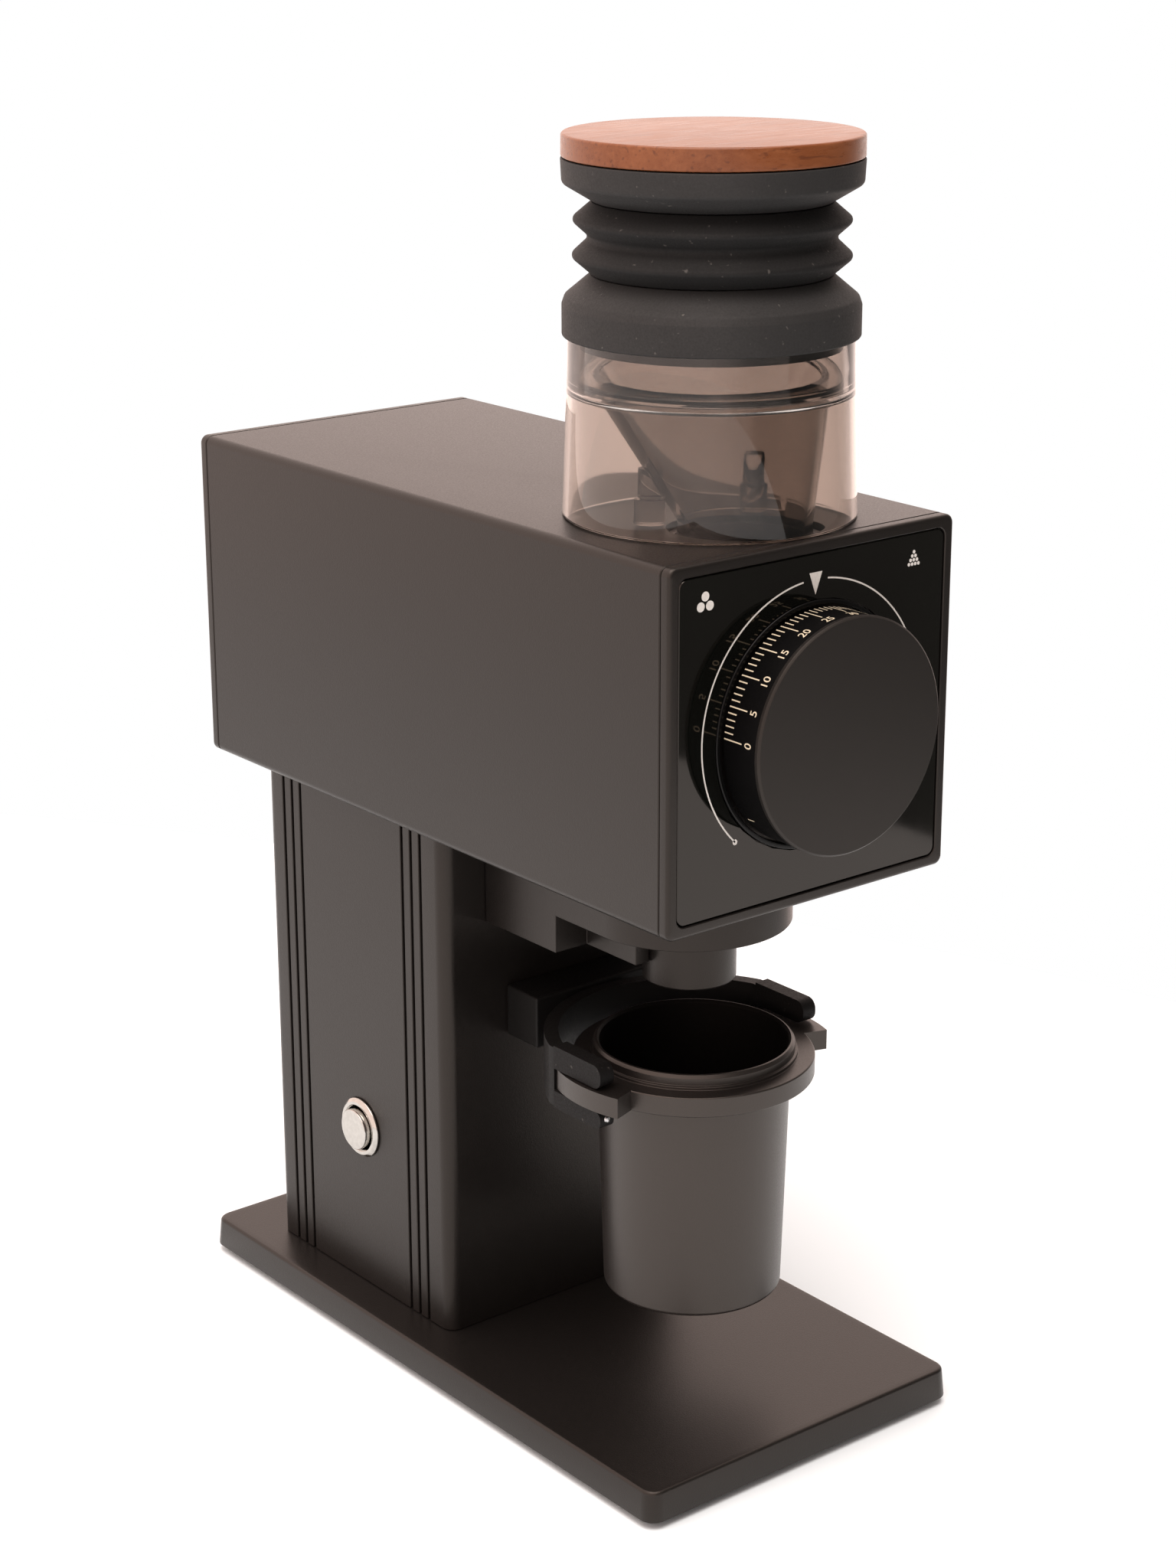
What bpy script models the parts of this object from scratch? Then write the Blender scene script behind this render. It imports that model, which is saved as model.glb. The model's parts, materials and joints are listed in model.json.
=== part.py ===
"""Electric single-dose coffee grinder with a horizontal burr axis, as an assembly of separate parts.

The frame is +Z up, with the front (the grind dial) towards -Y and the origin on the worktop,
under the middle of the machine. Lengths are in metres; MM turns millimetres into metres.
"""
import math

import bmesh
import bpy
from mathutils import Matrix, Vector

MM = 0.001
GAP = 0.3 * MM                    # assembly gap between touching pieces
MERGE = 0.00002                   # weld distance for turned profiles

# ---- driving dimensions -------------------------------------------------------------------------
HEAD_WIDTH = 95.2 * MM
HEAD_HEIGHT = 94.6 * MM
HEAD_LENGTH = 209.4 * MM
DIAL_PROUD = 13.7 * MM            # how far the dial stands in front of the head
FRONT = -(HEAD_LENGTH + DIAL_PROUD) / 2 + DIAL_PROUD    # Y of the head's front face

FOOT_PROUD = 2.0 * MM
BASE_THICKNESS = 8.8 * MM
BASE_TOP = FOOT_PROUD + BASE_THICKNESS
COLUMN_HEIGHT = 150.6 * MM
HEAD_BOTTOM = BASE_TOP + COLUMN_HEIGHT
HEAD_TOP = HEAD_BOTTOM + HEAD_HEIGHT
AXIS_Z = (HEAD_BOTTOM + HEAD_TOP) / 2                   # burr, dial and motor axis

HEAD_WALL = 3.0 * MM
HEAD_CORNER = 2.3 * MM
END_PLATE = 3.3 * MM              # front bezel and rear cover thickness
PANEL_INSET = 3.3 * MM            # bezel border seen round the glossy panel
PANEL_DEPTH = 1.8 * MM

BASE_HALF_WIDTH = 54.9 * MM
BASE_FRONT = FRONT - 3.5 * MM
BASE_REAR = FRONT + 209.0 * MM
BASE_DRAFT = 0.6 * MM

COLUMN_HALF_WIDTH = 42.8 * MM
COLUMN_FRONT = FRONT + 100.6 * MM
COLUMN_REAR = FRONT + 188.1 * MM
COLUMN_CORNER = 4.0 * MM
COLUMN_WALL = 3.0 * MM
GROOVE_WIDTH = 1.2 * MM
GROOVE_DEPTH = 0.9 * MM
GROOVE_PITCH = 4.3 * MM
GROOVE_GROUPS = (FRONT + 115.5 * MM, FRONT + 174.6 * MM)

BUTTON_Y = FRONT + 143.1 * MM
BUTTON_Z = 60.6 * MM
BUTTON_BEZEL_R = 9.0 * MM
BUTTON_BARREL_R = 7.8 * MM

HOPPER_Y = FRONT + 40.4 * MM
THROAT_Y = FRONT + 27.0 * MM
SPOUT_Y = FRONT + 46.8 * MM
CUP_Y = FRONT + 44.6 * MM

DIAL_R = 30.3 * MM
TRIM_OUTER, TRIM_INNER = 32.2 * MM, 30.9 * MM
SHAFT_R = 5.0 * MM

GEAR_MODULE = 1.04 * MM
PINION_TEETH = 10
WHEEL_TEETH = 30
GEAR_CENTRES = GEAR_MODULE * (PINION_TEETH + WHEEL_TEETH) / 2

# ---- colours and finishes: base colour, metallic, roughness --------------------------------------
FINISHES = {
    "powder_coat": ((0.060, 0.053, 0.050), 0.25, 0.55),
    "glossy_panel": ((0.010, 0.010, 0.009), 0.0, 0.12),
    "smoked_plastic": ((0.42, 0.33, 0.28), 0.0, 0.08),
    "rubber": ((0.035, 0.034, 0.033), 0.0, 0.75),
    "wood": ((0.43, 0.20, 0.09), 0.0, 0.5),
    "nickel": ((0.72, 0.68, 0.62), 1.0, 0.18),
    "steel": ((0.56, 0.56, 0.57), 1.0, 0.3),
    "tool_steel": ((0.33, 0.33, 0.35), 1.0, 0.35),
    "cast_aluminium": ((0.48, 0.48, 0.49), 1.0, 0.5),
    "nylon": ((0.75, 0.73, 0.66), 0.0, 0.5),
    "black_plastic": ((0.030, 0.029, 0.028), 0.0, 0.5),
    "circuit_board": ((0.03, 0.17, 0.07), 0.0, 0.45),
    "brass": ((0.68, 0.50, 0.22), 1.0, 0.3),
    "copper": ((0.60, 0.28, 0.14), 1.0, 0.35),
}

# ---- scene, collections and materials ------------------------------------------------------------
for stale in list(bpy.data.objects):
    bpy.data.objects.remove(stale, do_unlink=True)

PARTS = bpy.data.collections.new("coffee_grinder")
CUTTERS = bpy.data.collections.new("cutters")
for collection in (PARTS, CUTTERS):
    bpy.context.scene.collection.children.link(collection)

AXES = {
    "z": Matrix.Identity(4),
    "-y": Matrix.Rotation(math.radians(90), 4, "X"),
    "-x": Matrix.Rotation(math.radians(-90), 4, "Y"),
}


def material(name, finish):
    """A Principled material of one of the finishes, one for each sub-part."""
    colour, metallic, roughness = FINISHES[finish]
    made = bpy.data.materials.new(name)
    made.use_nodes = True
    shader = made.node_tree.nodes["Principled BSDF"]
    shader.inputs["Base Color"].default_value = (*colour, 1.0)
    shader.inputs["Metallic"].default_value = metallic
    shader.inputs["Roughness"].default_value = roughness
    return made


def add(name, mesh, finish, place=None):
    """Put a mesh in the scene as a named part, or as a cutter when it has no finish."""
    made = bpy.data.objects.new(name, mesh)
    if finish:
        PARTS.objects.link(made)
        made.data.materials.append(material(name, finish))
    else:
        CUTTERS.objects.link(made)
        made.hide_render = True
        made.display_type = "WIRE"
    if place is not None:
        made.matrix_world = place
    return made


def at(x, y, z, axis="z"):
    """A placement whose local +Z looks along the named axis."""
    return Matrix.Translation((x, y, z)) @ AXES[axis]


def shade(part, angle=35):
    """Smooth shading with sharp edges kept above an angle."""
    part.data.shade_smooth()
    part.data.set_sharp_from_angle(angle=math.radians(angle))


# ---- shapes --------------------------------------------------------------------------------------
def block(name, low, high, finish=None, round_axis="z", radius=0.0, segments=3):
    """A box between two corners, with the four edges along one axis rounded."""
    low, high = Vector(low), Vector(high)
    bm = bmesh.new()
    bmesh.ops.create_cube(bm, size=1.0)
    size = high - low
    bmesh.ops.scale(bm, vec=size, verts=bm.verts)
    if radius:
        along = "xyz".index(round_axis)
        spans = [(e, abs((e.verts[0].co - e.verts[1].co)[along])) for e in bm.edges]
        edges = [e for e, span in spans if span > size[along] / 2]
        bmesh.ops.bevel(bm, geom=edges, offset=radius, segments=segments, profile=0.5, affect="EDGES")
    mesh = bpy.data.meshes.new(name)
    bm.to_mesh(mesh)
    bm.free()
    return add(name, mesh, finish, Matrix.Translation((low + high) / 2))


def round_bar(name, radius, length, place, finish=None, steps=32):
    """A solid cylinder that starts at its place and runs along its local +Z."""
    bm = bmesh.new()
    bmesh.ops.create_cone(bm, cap_ends=True, segments=steps, radius1=radius, radius2=radius,
                          depth=length)
    bmesh.ops.translate(bm, vec=(0, 0, length / 2), verts=bm.verts)
    mesh = bpy.data.meshes.new(name)
    bm.to_mesh(mesh)
    bm.free()
    part = add(name, mesh, finish, place)
    shade(part)
    return part


def turned(name, profile, place, finish=None, steps=40, ring=True):
    """A turned part. The profile runs down the outside and, for a ring, back up the inside."""
    mesh = bpy.data.meshes.new(name)
    edges = [(i, i + 1) for i in range(len(profile) - 1)]
    if ring:
        edges.append((len(profile) - 1, 0))
    mesh.from_pydata([(r, 0.0, z) for r, z in profile], edges, [])
    part = add(name, mesh, finish, place)
    screw = part.modifiers.new("turn", "SCREW")
    screw.steps = screw.render_steps = steps
    screw.use_merge_vertices = not ring
    screw.merge_threshold = MERGE
    screw.use_smooth_shade = True
    return part


def outline_mesh(name, loops, thickness):
    """A flat plate of one outer loop and any hole loops, centred on its own XY plane."""
    curve = bpy.data.curves.new(name, "CURVE")
    curve.dimensions = "2D"
    curve.fill_mode = "BOTH"
    curve.extrude = thickness / 2
    for loop in loops:
        spline = curve.splines.new("POLY")
        spline.points.add(len(loop) - 1)
        for point, (x, y) in zip(spline.points, loop):
            point.co = (x, y, 0.0, 1.0)
        spline.use_cyclic_u = True
    holder = bpy.data.objects.new(name + "_curve", curve)
    CUTTERS.objects.link(holder)
    graph = bpy.context.evaluated_depsgraph_get()
    mesh = bpy.data.meshes.new_from_object(holder.evaluated_get(graph))
    bpy.data.objects.remove(holder, do_unlink=True)
    bm = bmesh.new()
    bm.from_mesh(mesh)
    bmesh.ops.remove_doubles(bm, verts=bm.verts, dist=MERGE)
    bmesh.ops.dissolve_limit(bm, angle_limit=math.radians(1), verts=[], edges=bm.edges)
    bmesh.ops.recalc_face_normals(bm, faces=bm.faces)
    bm.to_mesh(mesh)
    bm.free()
    mesh.materials.clear()
    return mesh


def plate(name, loops, thickness, place, finish=None):
    """A flat outlined part whose lower face is at its place."""
    mesh = outline_mesh(name, loops, thickness)
    mesh.transform(Matrix.Translation((0, 0, thickness / 2)))
    return add(name, mesh, finish, place)


def arc(cx, cy, radius, start, end, steps):
    """Points on an arc, in degrees, both ends included."""
    return [(cx + radius * math.cos(math.radians(start + (end - start) * i / steps)),
             cy + radius * math.sin(math.radians(start + (end - start) * i / steps)))
            for i in range(steps + 1)]


def circle(cx, cy, radius, steps):
    """Points on a full circle."""
    return arc(cx, cy, radius, 0, 360, steps)[:-1]


def rounded_rectangle(x0, y0, x1, y1, radius, steps=3):
    """An anticlockwise rectangle with rounded corners."""
    corners = ((x1, y0, -90), (x1, y1, 0), (x0, y1, 90), (x0, y0, 180))
    points = []
    for cx, cy, start in corners:
        inward_x = -radius if cx == x1 else radius
        inward_y = -radius if cy == y1 else radius
        points += arc(cx + inward_x, cy + inward_y, radius, start, start + 90, steps)
    return points


def edit(part, operation, tool, name):
    """Add an exact Boolean of one other object."""
    step = part.modifiers.new(name, "BOOLEAN")
    step.operation = operation
    step.solver = "EXACT"
    step.object = tool


def cut(part, *tools):
    """Take tools away from a part."""
    for tool in tools:
        edit(part, "DIFFERENCE", tool, "cut_" + tool.name)


def join(part, *tools):
    """Add tools to a part; each tool must reach into it."""
    for tool in tools:
        edit(part, "UNION", tool, "join_" + tool.name)


def empty(name, place):
    """A pivot that carries the pieces of one moving body."""
    made = bpy.data.objects.new(name, None)
    made.empty_display_size = 0.02
    PARTS.objects.link(made)
    made.matrix_world = place
    return made


def carry(pivot, *parts):
    """Parent parts to a pivot without moving them."""
    bpy.context.view_layer.update()
    for part in parts:
        part.parent = pivot
        part.matrix_parent_inverse = pivot.matrix_world.inverted()


# ---- base ----------------------------------------------------------------------------------------
FOOT_R = 8.0 * MM
FOOT_POCKET = 2.0 * MM
SCREW_CHANNEL_INSET = 6.5 * MM    # column corner to screw channel centre


def base_plate():
    """Heavy plate, drafted towards its top, with foot pockets and countersunk screw holes."""
    bm = bmesh.new()
    bmesh.ops.create_cube(bm, size=1.0)
    width, length = 2 * BASE_HALF_WIDTH, BASE_REAR - BASE_FRONT
    bmesh.ops.scale(bm, vec=(width, length, BASE_THICKNESS), verts=bm.verts)
    upright = [e for e in bm.edges if abs(e.verts[0].co.z - e.verts[1].co.z) > BASE_THICKNESS / 2]
    bmesh.ops.bevel(bm, geom=upright, offset=4.5 * MM, segments=3, profile=0.5, affect="EDGES")
    shrink = (1 - 2 * BASE_DRAFT / width, 1 - 2 * BASE_DRAFT / length, 1)
    top = [v for v in bm.verts if v.co.z > 0]
    bmesh.ops.scale(bm, vec=shrink, verts=top)
    rim = [e for e in bm.edges if all(v.co.z > 0 for v in e.verts)]
    bmesh.ops.bevel(bm, geom=rim, offset=1.0 * MM, segments=2, profile=0.5, affect="EDGES")
    mesh = bpy.data.meshes.new("base_plate")
    bm.to_mesh(mesh)
    bm.free()
    middle = (0, (BASE_FRONT + BASE_REAR) / 2, FOOT_PROUD + BASE_THICKNESS / 2)
    return add("base_plate", mesh, "powder_coat", Matrix.Translation(middle))


def build_base():
    base = base_plate()
    foot_top = FOOT_POCKET + FOOT_PROUD - GAP
    foot_profile = [(0, foot_top), (7.2 * MM, foot_top), (FOOT_R, FOOT_POCKET), (FOOT_R, 0.5 * MM),
                    (7.4 * MM, 0), (0, 0)]
    for side_name, side in (("left", -1), ("right", 1)):
        for end_name, y in (("front", BASE_FRONT + 13 * MM), ("rear", BASE_REAR - 13 * MM)):
            x = side * (BASE_HALF_WIDTH - 14 * MM)
            turned(f"foot_{end_name}_{side_name}", foot_profile, at(x, y, 0), "rubber", 12,
                   ring=False)
            pocket = round_bar(f"pocket_{end_name}_{side_name}", FOOT_R + GAP, FOOT_POCKET + 1 * MM,
                               at(x, y, FOOT_PROUD - 1 * MM), steps=14)
            cut(base, pocket)
    return base


def channel_points():
    """Centres of the column's four screw channels, with a name for each."""
    points = []
    for side_name, side in (("left", -1), ("right", 1)):
        x = side * (COLUMN_HALF_WIDTH - SCREW_CHANNEL_INSET)
        points.append((f"front_{side_name}", x, COLUMN_FRONT + SCREW_CHANNEL_INSET))
        points.append((f"rear_{side_name}", x, COLUMN_REAR - SCREW_CHANNEL_INSET))
    return points


def base_screws(base):
    """Countersunk screws from under the base into the column's channels."""
    head_r, shank_r, head_depth = 4.0 * MM, 1.9 * MM, 2.3 * MM
    bottom = FOOT_PROUD + 0.4 * MM
    length = 20 * MM
    profile = [(0, length), (shank_r, length), (shank_r, head_depth), (head_r, 0), (0, 0)]
    hole = [(0, length), (shank_r + GAP, length), (shank_r + GAP, head_depth + GAP),
            (head_r + GAP, 0), (head_r + GAP, -2 * MM), (0, -2 * MM)]
    for name, x, y in channel_points():
        turned("base_screw_" + name, profile, at(x, y, bottom), "steel", 10, ring=False)
        cut(base, turned("screw_hole_" + name, hole, at(x, y, bottom), steps=10, ring=False))


# ---- column --------------------------------------------------------------------------------------
def grooved_side(side):
    """Outline points down one side of the column, with two groups of three grooves."""
    points = []
    x = side * COLUMN_HALF_WIDTH
    for group in GROOVE_GROUPS:
        for i in (-1, 0, 1):
            y = group + i * GROOVE_PITCH
            inner = x - side * GROOVE_DEPTH
            half = GROOVE_WIDTH / 2
            points += [(x, y - half), (inner, y - half), (inner, y + half), (x, y + half)]
    return points if side > 0 else points[::-1]


def column_outline():
    """Outer loop of the column with rounded corners and grooved sides."""
    w, r = COLUMN_HALF_WIDTH, COLUMN_CORNER
    points = arc(w - r, COLUMN_FRONT + r, r, -90, 0, 4) + grooved_side(1)
    points += arc(w - r, COLUMN_REAR - r, r, 0, 90, 4) + arc(-w + r, COLUMN_REAR - r, r, 90, 180, 4)
    return points + grooved_side(-1) + arc(-w + r, COLUMN_FRONT + r, r, 180, 270, 4)


def column_bore():
    """Inner loop of the column, which steps round the four corner channels."""
    w = COLUMN_HALF_WIDTH - COLUMN_WALL
    y0, y1 = COLUMN_FRONT + COLUMN_WALL, COLUMN_REAR - COLUMN_WALL
    step = 8.0 * MM
    return [(-w + step, y0), (w - step, y0), (w - step, y0 + step), (w, y0 + step),
            (w, y1 - step), (w - step, y1 - step), (w - step, y1), (-w + step, y1),
            (-w + step, y1 - step), (-w, y1 - step), (-w, y0 + step), (-w + step, y0 + step)]


INLET_Z = 38.0 * MM
INLET_W, INLET_H = 27.4 * MM, 20.0 * MM


def build_column():
    channels = [circle(x, y, 2.4 * MM, 10) for _, x, y in channel_points()]
    column = plate("column", [column_outline(), column_bore()] + channels, COLUMN_HEIGHT - 2 * GAP,
                   at(0, 0, BASE_TOP + GAP), "powder_coat")
    button_hole = round_bar("button_hole", BUTTON_BARREL_R + GAP, 12 * MM,
                            at(-COLUMN_HALF_WIDTH + 6 * MM, BUTTON_Y, BUTTON_Z, "-x"))
    half_w, half_h = INLET_W / 2 + GAP, INLET_H / 2 + GAP
    inlet_hole = block("inlet_hole", (-half_w, COLUMN_REAR - 6 * MM, INLET_Z - half_h),
                       (half_w, COLUMN_REAR + 2 * MM, INLET_Z + half_h))
    cut(column, button_hole, inlet_hole)
    shade(column, 30)
    return column


def build_button():
    """Anti-vandal push button: bezel with threaded barrel, hexagon nut inside, sprung plunger."""
    face = 3.1 * MM                               # plunger face in front of the column's side
    place = at(-COLUMN_HALF_WIDTH, BUTTON_Y, BUTTON_Z, "-x")
    bezel = [(8.2 * MM, 1.5 * MM), (BUTTON_BEZEL_R, 0.8 * MM), (BUTTON_BEZEL_R, GAP),
             (BUTTON_BARREL_R, GAP), (BUTTON_BARREL_R, -20 * MM), (5.0 * MM, -20 * MM),
             (5.0 * MM, -8.0 * MM), (6.7 * MM, -8.0 * MM), (6.7 * MM, 1.3 * MM), (6.9 * MM, 1.5 * MM)]
    turned("button_bezel", bezel, place, "nickel", 18)
    nut_t = 3 * MM
    nut = plate("button_nut", [circle(0, 0, 11.0 * MM, 6), circle(0, 0, BUTTON_BARREL_R + GAP, 24)],
                nut_t, place @ Matrix.Translation((0, 0, -COLUMN_WALL - GAP - nut_t)), "nickel")
    shade(nut, 30)
    plunger = [(0, face), (5.7 * MM, face), (6.1 * MM, face - 0.4 * MM), (6.1 * MM, -5.5 * MM),
               (3.0 * MM, -5.5 * MM), (3.0 * MM, -11 * MM), (0, -11 * MM)]
    turned("button_plunger", plunger, place, "nickel", 18, ring=False)


def build_power_inlet():
    """Snap-in appliance inlet with three blades in its socket."""
    flange_w, flange_h, flange_t, depth = 31 * MM, 24 * MM, 2.4 * MM, 18 * MM
    y_out = COLUMN_REAR + GAP
    inlet = block("power_inlet", (-flange_w / 2, y_out, INLET_Z - flange_h / 2),
                  (flange_w / 2, y_out + flange_t, INLET_Z + flange_h / 2), "black_plastic", "y", 2 * MM)
    body = block("inlet_body", (-INLET_W / 2, y_out - depth, INLET_Z - INLET_H / 2),
                 (INLET_W / 2, y_out + 1 * MM, INLET_Z + INLET_H / 2))
    half_w, half_h, corner = 12.1 * MM, 8.2 * MM, 5.0 * MM
    socket = [(-half_w, -half_h), (half_w, -half_h), (half_w, half_h - corner), (half_w - corner, half_h),
              (-half_w + corner, half_h), (-half_w, half_h - corner)]
    socket_cut = plate("inlet_socket", [socket], 20 * MM,
                       at(0, y_out + flange_t + 3.5 * MM, INLET_Z, "-y"))
    join(inlet, body)
    cut(inlet, socket_cut)
    for name, x, z in (("live", -7 * MM, -2 * MM), ("earth", 0, 3 * MM), ("neutral", 7 * MM, -2 * MM)):
        blade = block("blade_" + name, (x - 1 * MM, y_out - 15.5 * MM, INLET_Z + z - 2 * MM),
                      (x + 1 * MM, y_out - 2 * MM, INLET_Z + z + 2 * MM))
        join(inlet, blade)


def build_control_board():
    """Motor control board on standoffs behind the column's front wall."""
    y = COLUMN_FRONT + 16 * MM
    reach = y - COLUMN_FRONT - COLUMN_WALL - GAP + 1 * MM
    board = block("control_board", (-28 * MM, y, 45 * MM), (28 * MM, y + 1.6 * MM, 135 * MM),
                  "circuit_board")
    for side in (-1, 1):
        for z in (52 * MM, 128 * MM):
            leg = round_bar(f"standoff_{side}_{round(z / MM)}", 3 * MM, reach,
                            at(side * 23 * MM, y + 1 * MM, z, "-y"), steps=8)
            join(board, leg)
    parts = (("heat_sink", (-18, 1, 62), (-4, 16, 92)), ("relay", (4, 1, 60), (20, 15, 76)),
             ("filter_choke", (2, 1, 86), (20, 17, 104)), ("terminal_row", (-20, 1, 108), (14, 11, 118)))
    for name, low, high in parts:
        join(board, block(name, [v * MM + o for v, o in zip(low, (0, y, 0))],
                          [v * MM + o for v, o in zip(high, (0, y, 0))]))


# ---- head ----------------------------------------------------------------------------------------
BEZEL_BACK = FRONT + END_PLATE
COVER_FRONT = FRONT + HEAD_LENGTH - END_PLATE
HEAD_CHANNEL = 5.6 * MM           # head corner to end-screw channel centre
NECK_R = 19.4 * MM                # grind chamber's feed neck
CHUTE_NECK_R = 14.6 * MM          # grind chamber's outlet neck


def head_channels():
    """Centres of the head extrusion's corner channels in X and Z."""
    x, z = HEAD_WIDTH / 2 - HEAD_CHANNEL, HEAD_HEIGHT / 2 - HEAD_CHANNEL
    return [("lower_left", -x, -z), ("lower_right", x, -z), ("upper_left", -x, z), ("upper_right", x, z)]


def build_head():
    """Extruded shell with corner screw channels and openings for the feed, the chute and the leads."""
    w, h = HEAD_WIDTH / 2, HEAD_HEIGHT / 2
    outer = rounded_rectangle(-w, -h, w, h, HEAD_CORNER, 2)
    iw, ih, step = w - HEAD_WALL, h - HEAD_WALL, 5.4 * MM
    inner = [(-iw + step, -ih), (iw - step, -ih), (iw - step, -ih + step), (iw, -ih + step),
             (iw, ih - step), (iw - step, ih - step), (iw - step, ih), (-iw + step, ih),
             (-iw + step, ih - step), (-iw, ih - step), (-iw, -ih + step), (-iw + step, -ih + step)]
    channels = [circle(x, z, 1.7 * MM, 8) for _, x, z in head_channels()]
    length = COVER_FRONT - BEZEL_BACK - 2 * GAP
    shell = plate("head_shell", [outer, inner] + channels, length,
                  at(0, COVER_FRONT - GAP, AXIS_Z, "-y"), "powder_coat")
    feed = round_bar("feed_hole", NECK_R + GAP, 10 * MM, at(0, THROAT_Y, HEAD_TOP - 6 * MM), steps=40)
    outlet = round_bar("outlet_hole", CHUTE_NECK_R + GAP, 10 * MM,
                       at(0, SPOUT_Y, HEAD_BOTTOM - 4 * MM), steps=32)
    leads = round_bar("lead_hole", 6 * MM, 10 * MM,
                      at(0, COLUMN_REAR - 22 * MM, HEAD_BOTTOM - 4 * MM), steps=16)
    cut(shell, feed, outlet, leads)
    shade(shell, 30)


def build_bezel():
    """Front plate with a shallow recess for the panel and a hole for the dial's stem."""
    w, h = HEAD_WIDTH / 2, HEAD_HEIGHT / 2
    loops = [rounded_rectangle(-w, -h, w, h, HEAD_CORNER, 2), circle(0, 0, 13.0 * MM, 32)]
    bezel = plate("front_bezel", loops, END_PLATE, at(0, BEZEL_BACK, AXIS_Z, "-y"),
                  "powder_coat")
    pw, ph = w - PANEL_INSET + GAP, h - PANEL_INSET + GAP
    recess = plate("panel_recess", [rounded_rectangle(-pw, -ph, pw, ph, 2.6 * MM, 3)], 5 * MM,
                   at(0, FRONT + PANEL_DEPTH, AXIS_Z, "-y"))
    cut(bezel, recess)
    shade(bezel, 30)
    pw, ph = pw - GAP, ph - GAP
    hole = circle(0, 0, TRIM_OUTER + GAP, 48)
    loops = [rounded_rectangle(-pw, -ph, pw, ph, 2.4 * MM, 3), hole]
    panel = plate("front_panel", loops, PANEL_DEPTH - 2 * GAP,
                  at(0, FRONT + PANEL_DEPTH - GAP, AXIS_Z, "-y"), "glossy_panel")
    shade(panel, 30)


def build_rear_cover():
    """Rear plate with cooling slots, held by four button-head screws."""
    w, h = HEAD_WIDTH / 2, HEAD_HEIGHT / 2
    slots = [rounded_rectangle(-24 * MM, z * MM - 1.2 * MM, 24 * MM, z * MM + 1.2 * MM, 1.0 * MM, 1)
             for z in (-20, -12, -4, 4, 12, 20)]
    holes = [circle(x, z, 1.9 * MM, 8) for _, x, z in head_channels()]
    loops = [rounded_rectangle(-w, -h, w, h, HEAD_CORNER, 2)] + slots + holes
    cover = plate("rear_cover", loops, END_PLATE, at(0, COVER_FRONT + END_PLATE, AXIS_Z, "-y"),
                  "powder_coat")
    shade(cover, 30)
    for name, x, z in head_channels():
        sink = round_bar("screw_sink_" + name, 3.1 * MM, 4 * MM,
                         at(x, COVER_FRONT + END_PLATE + 2 * MM, AXIS_Z + z, "-y"), steps=12)
        cut(cover, sink)
        screw = [(0, 12 * MM), (1.35 * MM, 12 * MM), (1.35 * MM, 1.6 * MM), (2.75 * MM, 1.6 * MM),
                 (2.75 * MM, 0.6 * MM), (2.0 * MM, 0), (0, 0)]
        turned("cover_screw_" + name, screw,
               at(x, COVER_FRONT + END_PLATE - 0.1 * MM, AXIS_Z + z, "-y"), "steel", 10, ring=False)


# ---- grinding group ------------------------------------------------------------------------------
CHAMBER_R = 34.0 * MM
CHAMBER_BORE = 28.0 * MM
CHAMBER_FRONT = BEZEL_BACK + 0.6 * MM
CHAMBER_REAR = FRONT + 64.0 * MM
CHAMBER_WALL_FRONT = FRONT + 58.0 * MM
BEARING_R = 11.0 * MM
BEARING_WIDTH = 5.0 * MM


def build_chamber():
    """Cast housing: mounting flange, burr bore, bearing seat, feed neck above and outlet neck below."""
    rear = at(0, CHAMBER_REAR, AXIS_Z, "-y")
    depth = CHAMBER_REAR - CHAMBER_FRONT
    bore_depth = CHAMBER_REAR - CHAMBER_WALL_FRONT
    body = [(41 * MM, depth), (41 * MM, depth - 4 * MM), (CHAMBER_R, depth - 4 * MM), (CHAMBER_R, 0),
            (BEARING_R + 0.2 * MM, 0), (BEARING_R + 0.2 * MM, bore_depth), (CHAMBER_BORE, bore_depth),
            (CHAMBER_BORE, depth)]
    chamber = turned("grind_chamber", body, rear, "cast_aluminium", 24)
    neck_top, neck_mouth = HEAD_TOP - HEAD_WALL + 1.2 * MM, HEAD_TOP - 9 * MM
    feed = round_bar("feed_neck", NECK_R, neck_top - AXIS_Z - 30 * MM,
                     at(0, THROAT_Y, AXIS_Z + 30 * MM), steps=24)
    chute = round_bar("outlet_neck", CHUTE_NECK_R, AXIS_Z - 30 * MM - HEAD_BOTTOM - GAP,
                      at(0, SPOUT_Y, HEAD_BOTTOM + GAP), steps=24)
    join(chamber, feed, chute)
    seat = round_bar("feed_seat", 17.4 * MM, 20 * MM, at(0, THROAT_Y, neck_mouth), steps=24)
    feed_bore = round_bar("feed_bore", 14.8 * MM, 40 * MM,
                          at(0, THROAT_Y, AXIS_Z + 15 * MM), steps=24)
    outlet_bore = round_bar("outlet_bore", 10.7 * MM, 44 * MM,
                            at(0, SPOUT_Y, HEAD_BOTTOM - 2 * MM), steps=24)
    cut(chamber, seat, feed_bore, outlet_bore)
    turned("shaft_bearing_front", bearing_profile(),
           at(0, CHAMBER_WALL_FRONT + 5.5 * MM, AXIS_Z, "-y"), "steel", 24)


def bearing_profile():
    """Section of a shaft bearing."""
    bore = SHAFT_R + 0.2 * MM
    return [(BEARING_R, BEARING_WIDTH), (BEARING_R, 0), (bore, 0), (bore, BEARING_WIDTH)]


CARRIER_R = 27.5 * MM
CARRIER_INNER = 24.0 * MM
CARRIER_FRONT = FRONT + 14.0 * MM
CARRIER_REAR = FRONT + 50.0 * MM
BURR_FRONT = FRONT + 36.0 * MM
STEM_R = 9.4 * MM
RING_SMALL, RING_LARGE = 14.0 * MM, 21.0 * MM
BURR_GAP = 0.6 * MM
BURR_LENGTH = 13.5 * MM


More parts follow.
